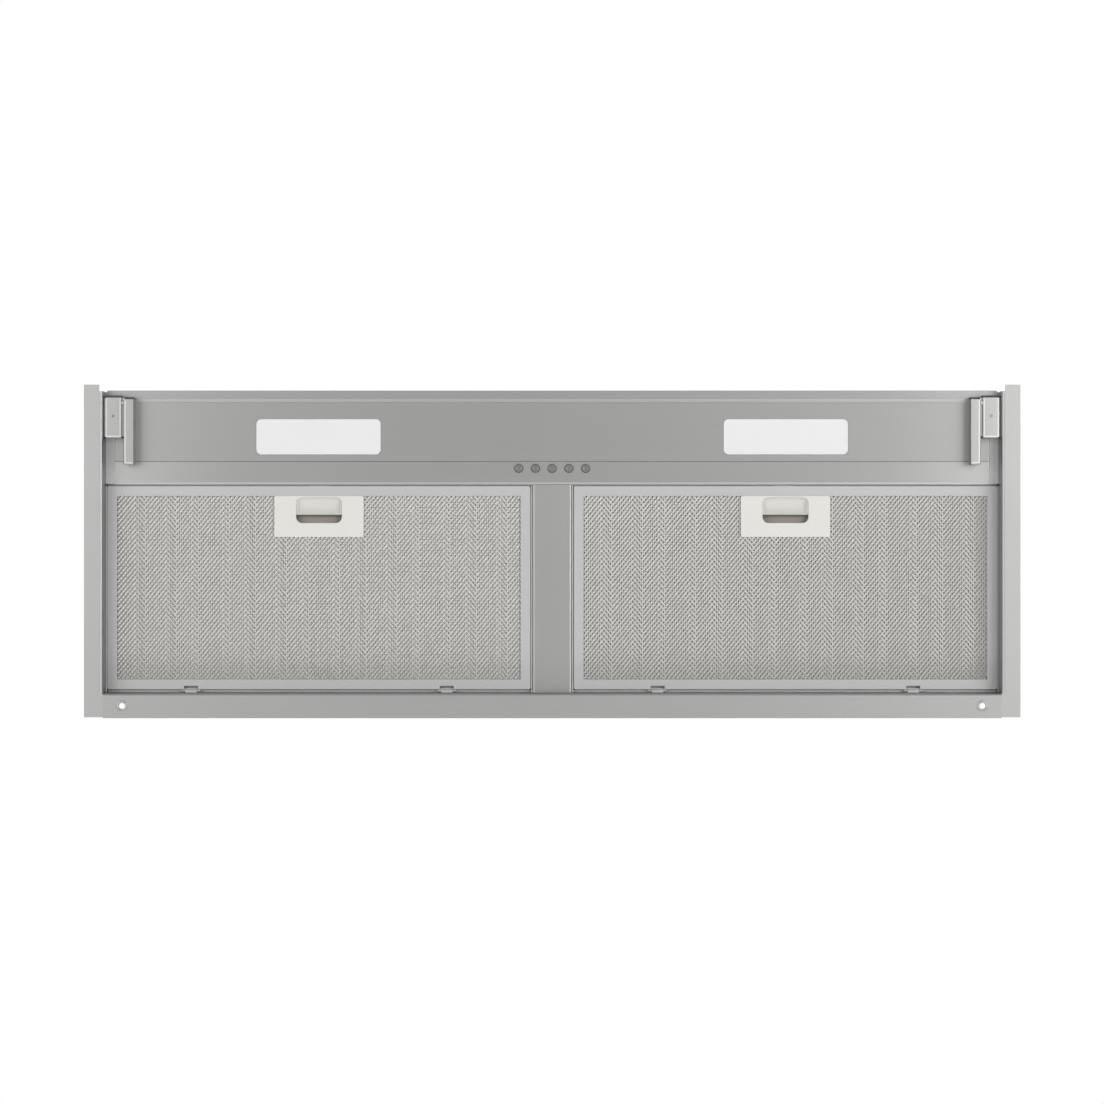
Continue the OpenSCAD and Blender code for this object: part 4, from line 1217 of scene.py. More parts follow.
@dataclass
class Tray:
    """The folded tray: rails, panels, mullion and deck, with the rims of its screw holes."""

    hole_x: float = 0.3675
    hole_y: float = 0.13195
    hole_r: float = 0.0026
    rim_w: float = 0.0011
    rim_h: float = 0.0005
    wall_x: float = 0.3839
    face: float = 0.020
    trim: float = 0.0002
    trim_front: float = -0.1384
    trim_rear: float = -0.1312
    crease: float = -0.0776
    hem: float = -0.0575
    strip_x: float = 0.3762
    rear_wall: float = 0.1214
    mullion_x: float = 0.0174
    filter_x: float = 0.2007
    curl_spread: float = 0.110
    cradle_half: float = 0.005
    cradle_front: float = 0.1193
    cradle_low: float = 0.0200
    lip_r: float = 0.003
    lip_bead: float = 0.0028
    lap: float = 0.0001
    plate: float = 0.00015
    ledge_z: float = 0.0004
    ledge_h: float = 0.0014
    ledge_r: float = 0.0003

    def build(self) -> None:
        """Dresses the tray's sheets and adds their rims, trims and ledges."""
        dress(["front_panel"], STEEL)
        dress(["control_strip"], STEEL_STRIP)
        dress(["rear_rail"], STEEL_REAR)
        dress(["left_side_rail", "right_side_rail"], STEEL_RAIL)
        dress(["centre_mullion"], STEEL_MULLION)
        dress(["deck_plate"], GALVANISED)
        for side in Side:
            self.build_rim(side)
            self.build_end_strip(side)
            self.build_side_ledges(side)
        self.build_front_trim()
        self.build_gasket()
        self.build_filter_ledges()
        self.build_cradle_pads()

    @staticmethod
    def lay(name: str, low: Point, high: Point, edge: float, steps: int, finish: Finish) -> None:
        """Adds one block with soft edges to the tray.

        Args:
            name: the piece's name.
            low: the corner with the lower X, Y and Z.
            high: the opposite corner.
            edge: the width of its bevels.
            steps: how many faces each bevel gets.
            finish: its finish.
        """
        piece = Workpiece.block(name, low, high)
        piece.soften(edge, steps)
        piece.hand_over("body", finish)

    def build_front_trim(self) -> None:
        """Lays the front lip's doubled sheet, with round front corners and a soft rear edge, and a bead in
        lighter rail steel behind it that paints a highlight along the lip.
        """
        radius, x, low = self.lip_r, self.wall_x, self.face - self.trim
        right = arc((x - radius, self.trim_front + radius), radius, -90, 0, 5)
        outline = [(-a, b) for a, b in right] + [(-x, self.trim_rear), (x, self.trim_rear)] + right[::-1]
        trim = Workpiece.bar("front_lip_trim", outline, Axis.Z, low, self.face)
        trim.round_edges(lambda c, d: c.z < low + NEAR and c.y > self.trim_rear - NEAR, self.trim * 0.9, 3)
        trim.round_edges(lambda c, d: c.z < low + NEAR and c.y < self.trim_front + radius, self.trim, 2)
        trim.hand_over("body", STEEL)
        # The bead covers the step at the trim's rear edge; its lighter rail steel is a painted highlight.
        self.lay("front_lip_bead", (-self.strip_x, self.trim_rear - self.lap, low),
                 (self.strip_x, self.trim_rear + self.lip_bead, self.face), 0.00008, 1, STEEL_RAIL)

    def build_end_strip(self, side: Side) -> None:
        """Closes the corner between the panels and one side wall with a flat strip, in a lighter copy of
        the rim's aluminium: painted light that lifts the shade beside the wall.

        Args:
            side: which side wall.
        """
        near, far = sorted((side.value * self.strip_x, side.value * self.wall_x))
        self.lay(f"{side.word}_end_strip", (near, self.trim_rear - 0.001, self.face - self.plate),
                 (far, self.hem - 0.0006, self.face), 0.00006, 1, STRIP_END_LIT)

    def build_gasket(self) -> None:
        """Lays a near-black strip in the fine joint between the lamp panel and the control strip, painted
        shade of the crease, and a bead of lighter steel on the strip's hem, a painted highlight of its
        bend.
        """
        self.lay("panel_gasket", (-self.strip_x, self.crease - self.lap, self.face + 0.0003),
                 (self.strip_x, self.crease + 0.0005, self.face + 0.0009), 0.0001, 1, SHADOW)
        # The hem bead's lighter steel is a painted highlight of the hem's bend.
        self.lay("strip_hem_bead", (-self.strip_x, self.hem - 0.0020, self.face - self.lap),
                 (self.strip_x, self.hem - 0.00025, self.face + 0.0002), 0.00005, 1, HEM_HIGHLIGHT_STEEL)

    def build_side_ledges(self, side: Side) -> None:
        """Adds the folded ledges beside one filter, on the side wall and on the mullion.

        Args:
            side: the filter's side.
        """
        level = self.face + self.ledge_z
        for name, near, wide in (("wall", self.wall_x - 0.0008, 0.0009),
                                 ("mullion", self.mullion_x - 0.0003, 0.0010)):
            low, high = sorted((side.value * near, side.value * (near + wide)))
            self.lay(f"{side.word}_{name}_ledge", (low, self.hem + 0.001, level),
                     (high, self.rear_wall, level + self.ledge_h), self.ledge_r, 3, RIM)

    def build_filter_ledges(self) -> None:
        """Adds the ledges in front of the filters and behind them."""
        x = self.wall_x - 0.001
        self.lay("front_ledge", (-x, self.hem - 0.0002, self.face + 0.0012),
                 (x, self.hem + 0.0008, self.face + 0.0022), self.ledge_r, 3, RIM)
        self.lay("rear_ledge", (-x, self.rear_wall - 0.0024, self.face + 0.0052),
                 (x, self.rear_wall, self.face + 0.0062), self.ledge_r, 3, RIM)

    def build_cradle_pads(self) -> None:
        """Lays a light cover plate under each cradle that carries a filter curl."""
        middles = [middle + way * self.curl_spread
                   for middle in (-self.filter_x, self.filter_x) for way in (-1, 1)]
        low = self.cradle_low - self.plate
        pads = [Workpiece.block("pad", (x - self.cradle_half, self.cradle_front, low),
                                (x + self.cradle_half, self.rear_wall, self.cradle_low)) for x in middles]
        Workpiece.merged("cradle_pads", pads).hand_over("body", RIM)

    def build_rim(self, side: Side) -> None:
        """Spins the rolled rim of one screw hole.

        Args:
            side: the hole's side.
        """
        middle = (side.value * self.hole_x, self.hole_y, 0.0)
        inner = self.hole_r
        top = arc((inner + self.rim_w, 0.0), self.rim_w, 180, 360, 8)
        profile = [(r, h * self.rim_h / self.rim_w) for r, h in top] + [(inner, 0.0)]
        rim = Workpiece.lathe(f"{side.word}_hole_rim", profile, middle, steps=28)
        rim.hand_over("body", STEEL_REAR)


@dataclass
class CornerBracket:
    """Bracket for the furniture front: an outer tab and an inner channel joined by a web and a bridge."""

    side: Side
    edge: float = 0.3826
    front: float = -0.1316
    low: float = 0.004
    high: float = 0.020
    tab_w: float = 0.014
    tab_l: float = 0.0343
    channel_front: float = -0.1302
    channel_w: float = 0.0083
    channel_l: float = 0.0556
    slot: float = 0.0019
    sheet: float = 0.001
    bend: float = 0.0008
    crisp: float = 0.0004
    dimple_r: float = 0.0013
    dimple_d: float = 0.0005
    web_z: float = 0.0070
    wall: float = 0.3839
    # Depth of the dark blocks that paint the shade in the bracket's open front ends.
    stop_l: float = 0.0020
    # How far the painted highlight strips stand below the bracket's face.
    worn: float = 0.00008

    def build(self) -> None:
        """Models the bracket on the left and mirrors it for the right."""
        start = -self.edge + self.tab_w + self.slot
        inner = start + self.sheet / 2
        tab = self.fold("tab", -self.edge, self.tab_w, self.front, self.tab_l)
        tab.carve(self.dimple())
        channel = self.fold("channel", start, self.channel_w, self.channel_front, self.channel_l)
        bridge = Workpiece.block(
            "bridge", (start - self.slot - self.sheet / 2, self.front + 0.003, self.low + 0.0004),
            (inner, self.front + 0.006, self.low + 0.0004 + self.sheet))
        bridge.soften(0.0003)
        web = Workpiece.block("web", (-self.wall, self.front, self.web_z),
                              (inner, self.front + self.tab_l - self.sheet, self.web_z + self.sheet))
        web.soften(0.0002)
        whole = tab.join([channel, bridge, web])
        self.finish(whole, "bracket", FOLDED, [f"{self.side.word}_trim_bracket"])
        self.build_bends(start)
        self.build_stops(start)

    def dimple(self) -> Workpiece:
        """Turns the cutter for the shallow dimple in the tab.

        Returns:
            The cutter.
        """
        profile = [(0.0, self.dimple_d), (self.dimple_r * 0.5, self.dimple_d),
                   (self.dimple_r, -0.0002), (0.0, -0.0002)]
        middle = (-self.edge + self.tab_w / 2, self.front + self.tab_l * 0.46, self.low)
        return Workpiece.lathe("dimple", profile, middle, steps=20)

    def build_bends(self, start: float) -> None:
        """Lays lighter strips along the bends of tab and channel and up their rear ends: painted highlights
        of the bent edges.

        Args:
            start: the channel's outer edge.
        """
        left, right, rear = -self.edge, start - self.slot, self.front + self.tab_l
        channel_right, channel_rear = start + self.channel_w, self.channel_front + self.channel_l
        flat = [
            ((left + 0.0004, self.front + 0.001), (left + 0.0017, rear - 0.0005)),
            ((left + 0.0017, rear - 0.0018), (right - 0.0016, rear - 0.0005)),
            ((right - 0.0016, self.front + 0.001), (right - 0.0006, rear - 0.0005)),
            ((start + 0.0005, self.channel_front + 0.001), (start + 0.0020, channel_rear - 0.0005)),
            ((start + 0.0020, channel_rear - 0.0018), (channel_right - 0.0005, channel_rear - 0.0005)),
        ]
        upright = [(left + self.bend, right - 0.0004, rear),
                   (start + self.bend, channel_right - 0.0004, channel_rear)]
        lines = [Workpiece.block("line", (*low, self.low - self.worn), (*high, self.low + 0.0003))
                 for low, high in flat]
        lines += [Workpiece.block("line", (low, back - 0.0003, self.low + self.bend),
                                  (high, back + 0.0002, self.high - 0.0004))
                  for low, high, back in upright]
        worn = lines[0].join(lines[1:])
        worn.soften(0.00006, 1)
        self.finish(worn, "bracket_bends", BEND_HIGHLIGHT, [])

    def build_stops(self, start: float) -> None:
        """Sets dark blocks into the open front ends of tab and channel: painted shade in the open ends.

        Args:
            start: the channel's outer edge.
        """
        stop = Workpiece.block("stop", (-self.edge + 0.0004, self.front - self.stop_l, self.low + 0.004),
                               (start - self.slot, self.front, self.high))
        other = Workpiece.block("stop", (start, self.channel_front - self.stop_l, self.low + 0.006),
                                (start + self.channel_w, self.channel_front, self.high))
        stop.join([other]).soften(0.0002, 2)
        self.finish(stop, "bracket_stops", DARK, [])

    def finish(self, piece: Workpiece, name: str, finish: Finish, replaces: Sequence[str]) -> None:
        """Mirrors a piece for the right side, names it and hands it over.

        Args:
            piece: the piece, modelled on the left.
            name: its name without the side.
            finish: its finish.
            replaces: the CAD nodes that it stands for.
        """
        full = f"{self.side.word}_{name}"
        if self.side is Side.RIGHT:
            copy = piece.twin(full, Matrix.Scale(-1, 4, (1, 0, 0)))
            piece.discard()
            piece = copy
        piece.rename(full)
        piece.hand_over("body", finish, replaces)

    def fold(self, name: str, x: float, width: float, front: float, length: float) -> Workpiece:
        """Folds one open channel: a bevelled block without its top and front, given a wall.

        Args:
            name: the piece's name.
            x: its left edge.
            width: its width.
            front: where it starts.
            length: its length.

        Returns:
            The sheet channel, round on its outer and rear edges and crisp on its inner one.
        """
        piece = Workpiece.block(name, (x, front, self.low), (x + width, front + length, self.high))
        with piece.editing():
            piece.pick(lambda c, n: n.z > 0.9 or n.y < -0.9)
            bpy.ops.mesh.delete(type="FACE")
        low, inner = self.low + NEAR, x + width - NEAR
        piece.round_edges(lambda c, d: c.z < low and c.y > front + NEAR and c.x < inner, self.bend, 5)
        piece.round_edges(lambda c, d: c.z < low and c.x > inner, self.crisp, 3)
        piece.modify("SOLIDIFY", thickness=self.sheet, offset=-1.0)
        piece.soften(0.00012, 1, 60)
        return piece


@dataclass
class Lamp:
    """One lamp: frosted lens with a raised rim under its housing and LED board."""

    side: Side
    x: float = 0.201
    y: float = -0.0986
    width: float = 0.107
    depth: float = 0.0303
    corner: float = 0.0042
    low: float = 0.0196
    seat: float = 0.021
    lip: float = 0.0009
    lip_h: float = 0.0012
    rim: float = 0.0016
    dish: float = 0.0003

    def build(self) -> None:
        """Models the lens and dresses the housing and the board."""
        middle = (self.side.value * self.x, self.y)
        lens = Workpiece.bar(f"{self.side.word}_lens", rounded(self.width, self.depth, self.corner, middle),
                             Axis.Z, self.low, self.seat + self.lip_h)
        with lens.editing():
            lens.pick(lambda c, n: n.z < -0.9)
            bpy.ops.mesh.inset(thickness=self.rim)
            bpy.ops.mesh.extrude_region_move(TRANSFORM_OT_translate={"value": (0, 0, self.dish)})
        lens.round_edges(lambda c, d: c.z < self.low + 0.00035 and abs(d.z) < 0.5, 0.0002, 2)
        outline = rounded(self.width + 2 * self.lip, self.depth + 2 * self.lip, self.corner + self.lip,
                          middle)
        flange = Workpiece.bar("lip", outline, Axis.Z, self.seat, self.seat + self.lip_h)
        lens.join([flange]).hand_over("body", LENS, [f"{self.side.word}_lamp_lens"])
        dress([f"{self.side.word}_lamp_housing"], GALVANISED)
        dress([f"{self.side.word}_led_board"], LED)


@dataclass
class ButtonRow:
    """Five steel push buttons with dished caps, each on its own body."""

    names: tuple[str, ...] = ("light", "off", "low", "medium", "high")
    pitch: float = 0.0144
    y: float = -0.0714
    face: float = 0.020
    out: float = 0.0022
    radius: float = 0.0035
    flange_z: float = 0.0213
    flange_r: float = 0.0044
    stem_r: float = 0.0018
    stem_top: float = 0.0291
    flange_h: float = 0.001
    edge_r: float = 0.0006

    def build(self) -> None:
        """Lathes one button and places a copy for each name."""
        low, edge, flange_top = self.face - self.out, self.edge_r, self.flange_z + self.flange_h
        profile = [(0.0, low + 0.00025), (self.radius * 0.45, low + 0.00018), (self.radius * 0.68, low)]
        profile += [(self.radius - edge + r, low + edge + h) for r, h in arc((0, 0), edge, 270, 360, 4)]
        profile += [(self.radius, self.flange_z), (self.flange_r, self.flange_z),
                    (self.flange_r, flange_top), (self.stem_r, flange_top),
                    (self.stem_r, self.stem_top), (0.0, self.stem_top)]
        first = Workpiece.lathe("button", profile, (0, 0, 0), steps=36)
        for place, name in enumerate(self.names, start=-2):
            cap = first.twin(f"{name}_cap", shift(place * self.pitch, self.y))
            cap.hand_over(f"{name}_button", BUTTON, [f"{name}_button"])
        first.discard()
        dress(["switch_block"], DARK)
        dress(["control_board"], BOARD)
        dress(["led_driver"], WHITE)


@dataclass
class MeshLayer:
    """One layer of expanded metal in closed strands, its cells in bands that lean to either side."""

    name: str
    level: float
    wide: float
    narrow: float
    pitch_x: float = 0.0038
    pitch_y: float = 0.0046
    strand_t: float = 0.00035
    tilt: float = 0.35
    start: float = 0.0
    bands: tuple[int, ...] = (1, 4, 2, 5, 2, 4, 1, 6)
    sink: float = 0.0002

    def build(self, low: tuple[float, float], high: tuple[float, float]) -> Workpiece:
        """Models one row of bands and repeats it over a field.

        Args:
            low: the field's corner with the lower X and Y.
            high: its opposite corner.

        Returns:
            The layer.
        """
        cells = {lean: self.cell(low, lean) for lean in (1, -1)}
        bands: list[Workpiece] = []
        for place, count in enumerate(self.bands):
            reach = sum(self.bands[:place]) * self.pitch_x
            band = cells[-1 if place % 2 else 1].twin(self.name, shift(reach))
            self.repeat(band, count, Axis.X, self.pitch_x)
            bands.append(band)
        for cell in cells.values():
            cell.discard()
        layer = bands[0].join(bands[1:])
        across = sum(self.bands) * self.pitch_x
        self.repeat(layer, math.ceil((high[0] - low[0]) / across), Axis.X, across)
        self.repeat(layer, math.ceil((high[1] - low[1]) / self.pitch_y), Axis.Y, self.pitch_y)
        layer.delete_loose_parts(lambda c, n: c.x > high[0] or c.y > high[1])
        return layer

    @staticmethod
    def repeat(piece: Workpiece, count: int, axis: Axis, step: float) -> None:
        """Repeats a piece along an axis.

        Args:
            piece: the piece.
            count: how many there are in the end.
            axis: the direction.
            step: the distance from one to the next.
        """
        piece.modify("ARRAY", count=count, use_relative_offset=False, use_constant_offset=True,
                     constant_offset_displace=[v * step for v in axis.value])

    def cell(self, low: tuple[float, float], main: int) -> Workpiece:
        """Models the four strands of one cell.

        Args:
            low: the field's corner.
            main: 1 or -1, which way its broad strands lean; the fine ones lie under them.

        Returns:
            The cell.
        """
        half_x, half_y = self.pitch_x / 2, self.pitch_y / 2
        strands: list[Workpiece] = []
        for row, turn in ((0, 1), (0, -1), (1, 1), (1, -1)):
            width = self.wide if turn == main else self.narrow
            Workpiece.clear()
            bpy.ops.mesh.primitive_cube_add(
                size=1.0, scale=(width, math.hypot(half_x, half_y) + width * 0.5, self.strand_t),
                location=(low[0] + (half_x if row else 0.0) + turn * half_x / 2,
                          low[1] + self.start + (row + 0.5) * half_y,
                          self.level + (0.0 if turn == main else self.sink)),
                rotation=(0.0, turn * self.tilt, -turn * math.atan2(half_x, half_y)))
            strands.append(Workpiece(bpy.context.object, self.name))
        return strands[0].join(strands[1:])


@dataclass
class GreaseFilter:
    """One filter: rim, expanded metal, handle plate with its latch, and the latch springs."""

    side: Side
    x: float = 0.2007
    front: float = -0.0562
    rear: float = 0.1186
    low: float = 0.0205
    high: float = 0.0285
    width: float = 0.3640
    rim: float = 0.0084
    sheet: float = 0.0008
    handle_w: float = 0.077
    handle_d: float = 0.0355
    handle_low: float = 0.0199
    grip_w: float = 0.0392
    grip_d: float = 0.0217
    grip_r: float = 0.005
    skin: float = 0.0016
    back: float = 0.0012
    travel: float = 0.005
    nose_w: float = 0.018
    nose_t: float = 0.003
    nose_z: float = 0.0235
    nose_out: float = 0.0043
    spring_r: float = 0.0015
    wire_r: float = 0.00035
    curls: int = 5
    fit: float = 0.0002
    gap: float = 0.0003
    paddle_d: float = 0.003
    # Half width of the dark strip that paints the shade behind the paddle.
    return_half: float = 0.0185

    def __post_init__(self) -> None:
        """Works out the places that the pieces share."""
        self.middle = self.side.value * self.x
        self.body = f"{self.side.word}_filter"
        self.handle_front = self.front + self.rim
        self.handle_rear = self.handle_front + self.handle_d
        self.grip_front = self.handle_front + 0.0015
        self.grip_rear = self.grip_front + self.grip_d
        self.latch_rear = self.grip_rear - self.travel - 0.0021
        self.pocket_x = self.grip_w / 2 + 0.0055
        self.pocket_front = self.handle_front + 0.001
        self.pocket_rear = self.grip_rear + 0.002
        self.pocket_low = self.handle_low + self.skin
        self.pocket_high = self.high - self.back

    def build(self) -> None:
        """Builds and dresses the whole filter."""
        dress([f"{self.side.word}_filter_frame"], RIM)
        self.build_mesh()
        self.build_handle()
        self.build_latch()
        self.build_springs()

    def build_mesh(self) -> None:
        """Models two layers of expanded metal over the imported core."""
        hold = self.rim - 0.0016
        low = (self.middle - self.width / 2 + hold, self.front + hold)
        high = (self.middle + self.width / 2 - hold, self.rear - hold)
        face = self.low + self.sheet
        layers = [MeshLayer("face", face + 0.0005, wide=0.00125, narrow=0.0006),
                  MeshLayer("second", face + 0.0014, wide=0.0008, narrow=0.0005, start=0.0010)]
        for layer in layers:
            made = layer.build(low, high)
            self.clear_handle(made)
            made.rename(f"{self.side.word}_mesh_{layer.name}")
            made.hand_over(self.body, STRAND, level=False)
        core = Workpiece.block(f"{self.side.word}_mesh_core", (low[0], low[1], self.low + 0.0028),
                               (high[0], high[1], self.high - self.sheet))
        half = self.handle_w / 2
        core.carve(Workpiece.block("notch", (self.middle - half, low[1] - 0.01, self.low - 0.01),
                                   (self.middle + half, self.handle_rear, self.high + 0.01)))
        core.soften(0.0002, 1)
        core.hand_over(self.body, CORE, [f"{self.side.word}_filter_mesh"])

    def clear_handle(self, layer: Workpiece) -> None:
        """Removes the strands that the handle plate covers.

        Args:
            layer: the layer of mesh.
        """
        inside = 0.0022
        half, rear, middle = self.handle_w / 2 - inside, self.handle_rear - inside, self.middle
        layer.delete_loose_parts(lambda c, n: abs(c.x - middle) < half and c.y < rear)

    def build_handle(self) -> None:
        """Models the handle plate, its finger recess and the pocket of the latch."""
        low, middle, slack = self.handle_low, self.middle, 1e-4
        plate_y = (self.handle_front + self.handle_rear) / 2
        grip_y = (self.grip_front + self.grip_rear) / 2
        plate = Workpiece.bar(f"{self.side.word}_handle_plate",
                              rounded(self.handle_w, self.handle_d, 0.0012, (middle, plate_y), 3),
                              Axis.Z, low, self.high)
        plate.round_edges(lambda c, d: c.z < low + NEAR, 0.0005, 3)
        grip = rounded(self.grip_w, self.grip_d, self.grip_r, (middle, grip_y), 8)
        plate.carve(Workpiece.bar("grip", grip, Axis.Z, low - 0.002, self.pocket_low + 0.001))
        plate.round_edges(lambda c, d: c.z < low + NEAR
                          and abs(c.x - middle) < self.grip_w / 2 + slack
                          and self.grip_front - slack < c.y < self.grip_rear + slack, 0.0009, 4)
        plate.carve(Workpiece.block("pocket", (middle - self.pocket_x, self.pocket_front, self.pocket_low),
                                    (middle + self.pocket_x, self.pocket_rear, self.pocket_high)))
        half, gap = self.nose_w / 2, self.gap
        plate.carve(Workpiece.block(
            "slot", (middle - half - gap, self.handle_front - 0.001, self.nose_z - gap),
            (middle + half + gap, self.pocket_front + 0.001, self.nose_z + self.nose_t + gap)))
        plate.hand_over(self.body, CREAM, [f"{self.side.word}_handle"])
        self.build_liner()

    def build_liner(self) -> None:
        """Lines the ceiling and the rear wall of the latch pocket, seen behind the paddle, with a dark
        brown-grey film: painted shade in the pocket.
        """
        film, half = 0.0001, self.pocket_x - 0.0002
        ceiling = Workpiece.block(f"{self.side.word}_pocket_liner",
                                  (self.middle - half, self.latch_rear - 0.004, self.pocket_high - film),
                                  (self.middle + half, self.pocket_rear, self.pocket_high))
        wall = Workpiece.block("wall", (self.middle - half, self.pocket_rear - film, self.pocket_low),
                               (self.middle + half, self.pocket_rear, self.pocket_high))
        shade_film = ceiling.join([wall])
        shade_film.soften(0.00003, 1)
        shade_film.hand_over(self.body, POCKET_SHADE_FILM)

    def build_latch(self) -> None:
        """Models the latch: a slider with a scooped paddle and a ramped nose."""
        low, front = self.pocket_low + self.fit, self.pocket_front + self.gap
        half = self.pocket_x - self.gap
        latch = Workpiece.block(f"{self.side.word}_latch_slider", (self.middle - half, front, low),
                                (self.middle + half, self.latch_rear, self.pocket_high - self.fit))
        depth, reach = self.paddle_d, (self.latch_rear - self.grip_front) / 2 - self.gap
        radius = (reach * reach + depth * depth) / (2 * depth)
        scoop_half = self.grip_w / 2 - 0.0014
        centre = (self.middle, (self.latch_rear + self.grip_front) / 2, low - radius + depth)
        scoop = Workpiece.drum("scoop", centre, radius, 2 * scoop_half, Axis.X, 96)
        scoop.soften(0.0012, 3, 50)
        latch.carve(scoop)
        latch.soften(0.00035, 2, 40)
        tip = self.front - self.nose_out
        nose = Workpiece.bar("nose", [(tip, self.nose_z), (front + 0.001, self.nose_z),
                                      (front + 0.001, self.nose_z + self.nose_t),
                                      (tip + self.nose_t * 0.7, self.nose_z + self.nose_t)],
                             Axis.X, self.middle - self.nose_w / 2, self.middle + self.nose_w / 2)
        nose.soften(0.0003, 2, 30)
        self.build_return(low)
        latch.join([nose]).hand_over(f"{self.side.word}_latch", LATCH, [f"{self.side.word}_latch"])

    def build_return(self, low: float) -> None:
        """Lays a dark strip just behind the paddle: painted shade under the paddle's rear edge.

        Args:
            low: the slider's lower face.
        """
        back = Workpiece.block(
            f"{self.side.word}_latch_return",
            (self.middle - self.return_half, self.latch_rear - 0.0001, low + 0.0008),
            (self.middle + self.return_half, self.latch_rear + 0.0011, low + 0.0016))
        back.soften(0.0003, 2)
        back.hand_over(f"{self.side.word}_latch", PADDLE_SHADE)

    def build_springs(self) -> None:
        """Winds the two latch springs with a screw modifier along Y."""
        level = (self.pocket_low + self.pocket_high) / 2
        start = self.latch_rear + 0.0001
        length = self.pocket_rear - start
        wound: list[Workpiece] = []
        for turn in (-1, 1):
            centre = self.middle + turn * (self.grip_w / 2 + self.pocket_x) / 2
            ring = [(self.spring_r + self.wire_r * math.cos(a), self.wire_r * (1 + math.sin(a)), 0.0)
                    for a in (i * math.pi / 4 for i in range(8))]
            wire = Workpiece.path("spring", ring)
            wire.modify("SCREW", axis="Y", angle=2 * math.pi, iterations=self.curls, steps=20,
                        screw_offset=(length - 2 * self.wire_r) / self.curls, use_normal_calculate=True)
            wound.append(wire.twin("spring", shift(centre, start, level)))
            wire.discard()
        pair = Workpiece.merged(f"{self.side.word}_spring_pair", wound)
        with pair.editing():
            bpy.ops.mesh.select_all(action="SELECT")
            bpy.ops.mesh.fill_holes(sides=12)
            bpy.ops.mesh.normals_make_consistent(inside=False)
        wires = pair.hand_over(self.body, SPRING, [f"{self.side.word}_latch_springs"])
        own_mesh(wires)


@dataclass(frozen=True)
class ScrewHeads:
    """Pan heads with a cross recess, modelled once and copied to each screw."""

    radius: float = 0.0035
    height: float = 0.002
    rim: float = 0.0008
    blade: float = 0.0009
    reach: float = 0.0019
    depth: float = 0.0011

    def model(self) -> Workpiece:
        """Lathes one head on the origin, pointing up, and cuts its recess.

        Returns:
            The head.
        """
        profile = [(0.0, 0.0), (self.radius * 0.97, 0.0), (self.radius, 0.0002), (self.radius, self.rim)]
        profile += [(self.radius * math.cos(t), self.rim + (self.height - self.rim) * math.sin(t))
                    for t in (math.radians(a) for a in (20, 42, 64))]
        head = Workpiece.lathe("screw_head", profile + [(0.0, self.height)], (0, 0, 0), steps=24)
        for long, wide in ((self.reach, self.blade / 2), (self.blade / 2, self.reach)):
            blade = Workpiece.block("blade", (-long, -wide, self.height - self.depth),
                                    (long, wide, self.height + 0.001))
            with blade.editing():
                blade.pick(lambda c, n: n.z < -0.9)
                bpy.ops.transform.resize(value=(0.45, 0.45, 1.0))
            head.carve(blade)
        return head

    def place(self, name: str, node: str, places: Sequence[Matrix]) -> None:
        """Puts a head at each place and lets them stand for a CAD node.

        Args:
            name: the new piece's name.
            node: the CAD node of these screws.
            places: where each head's seat goes, with its own up direction.
        """
        head = self.model()
        copies = [head.twin("screw", place) for place in places]
        head.discard()
        Workpiece.merged(name, copies).hand_over("body", SCREW, [node])


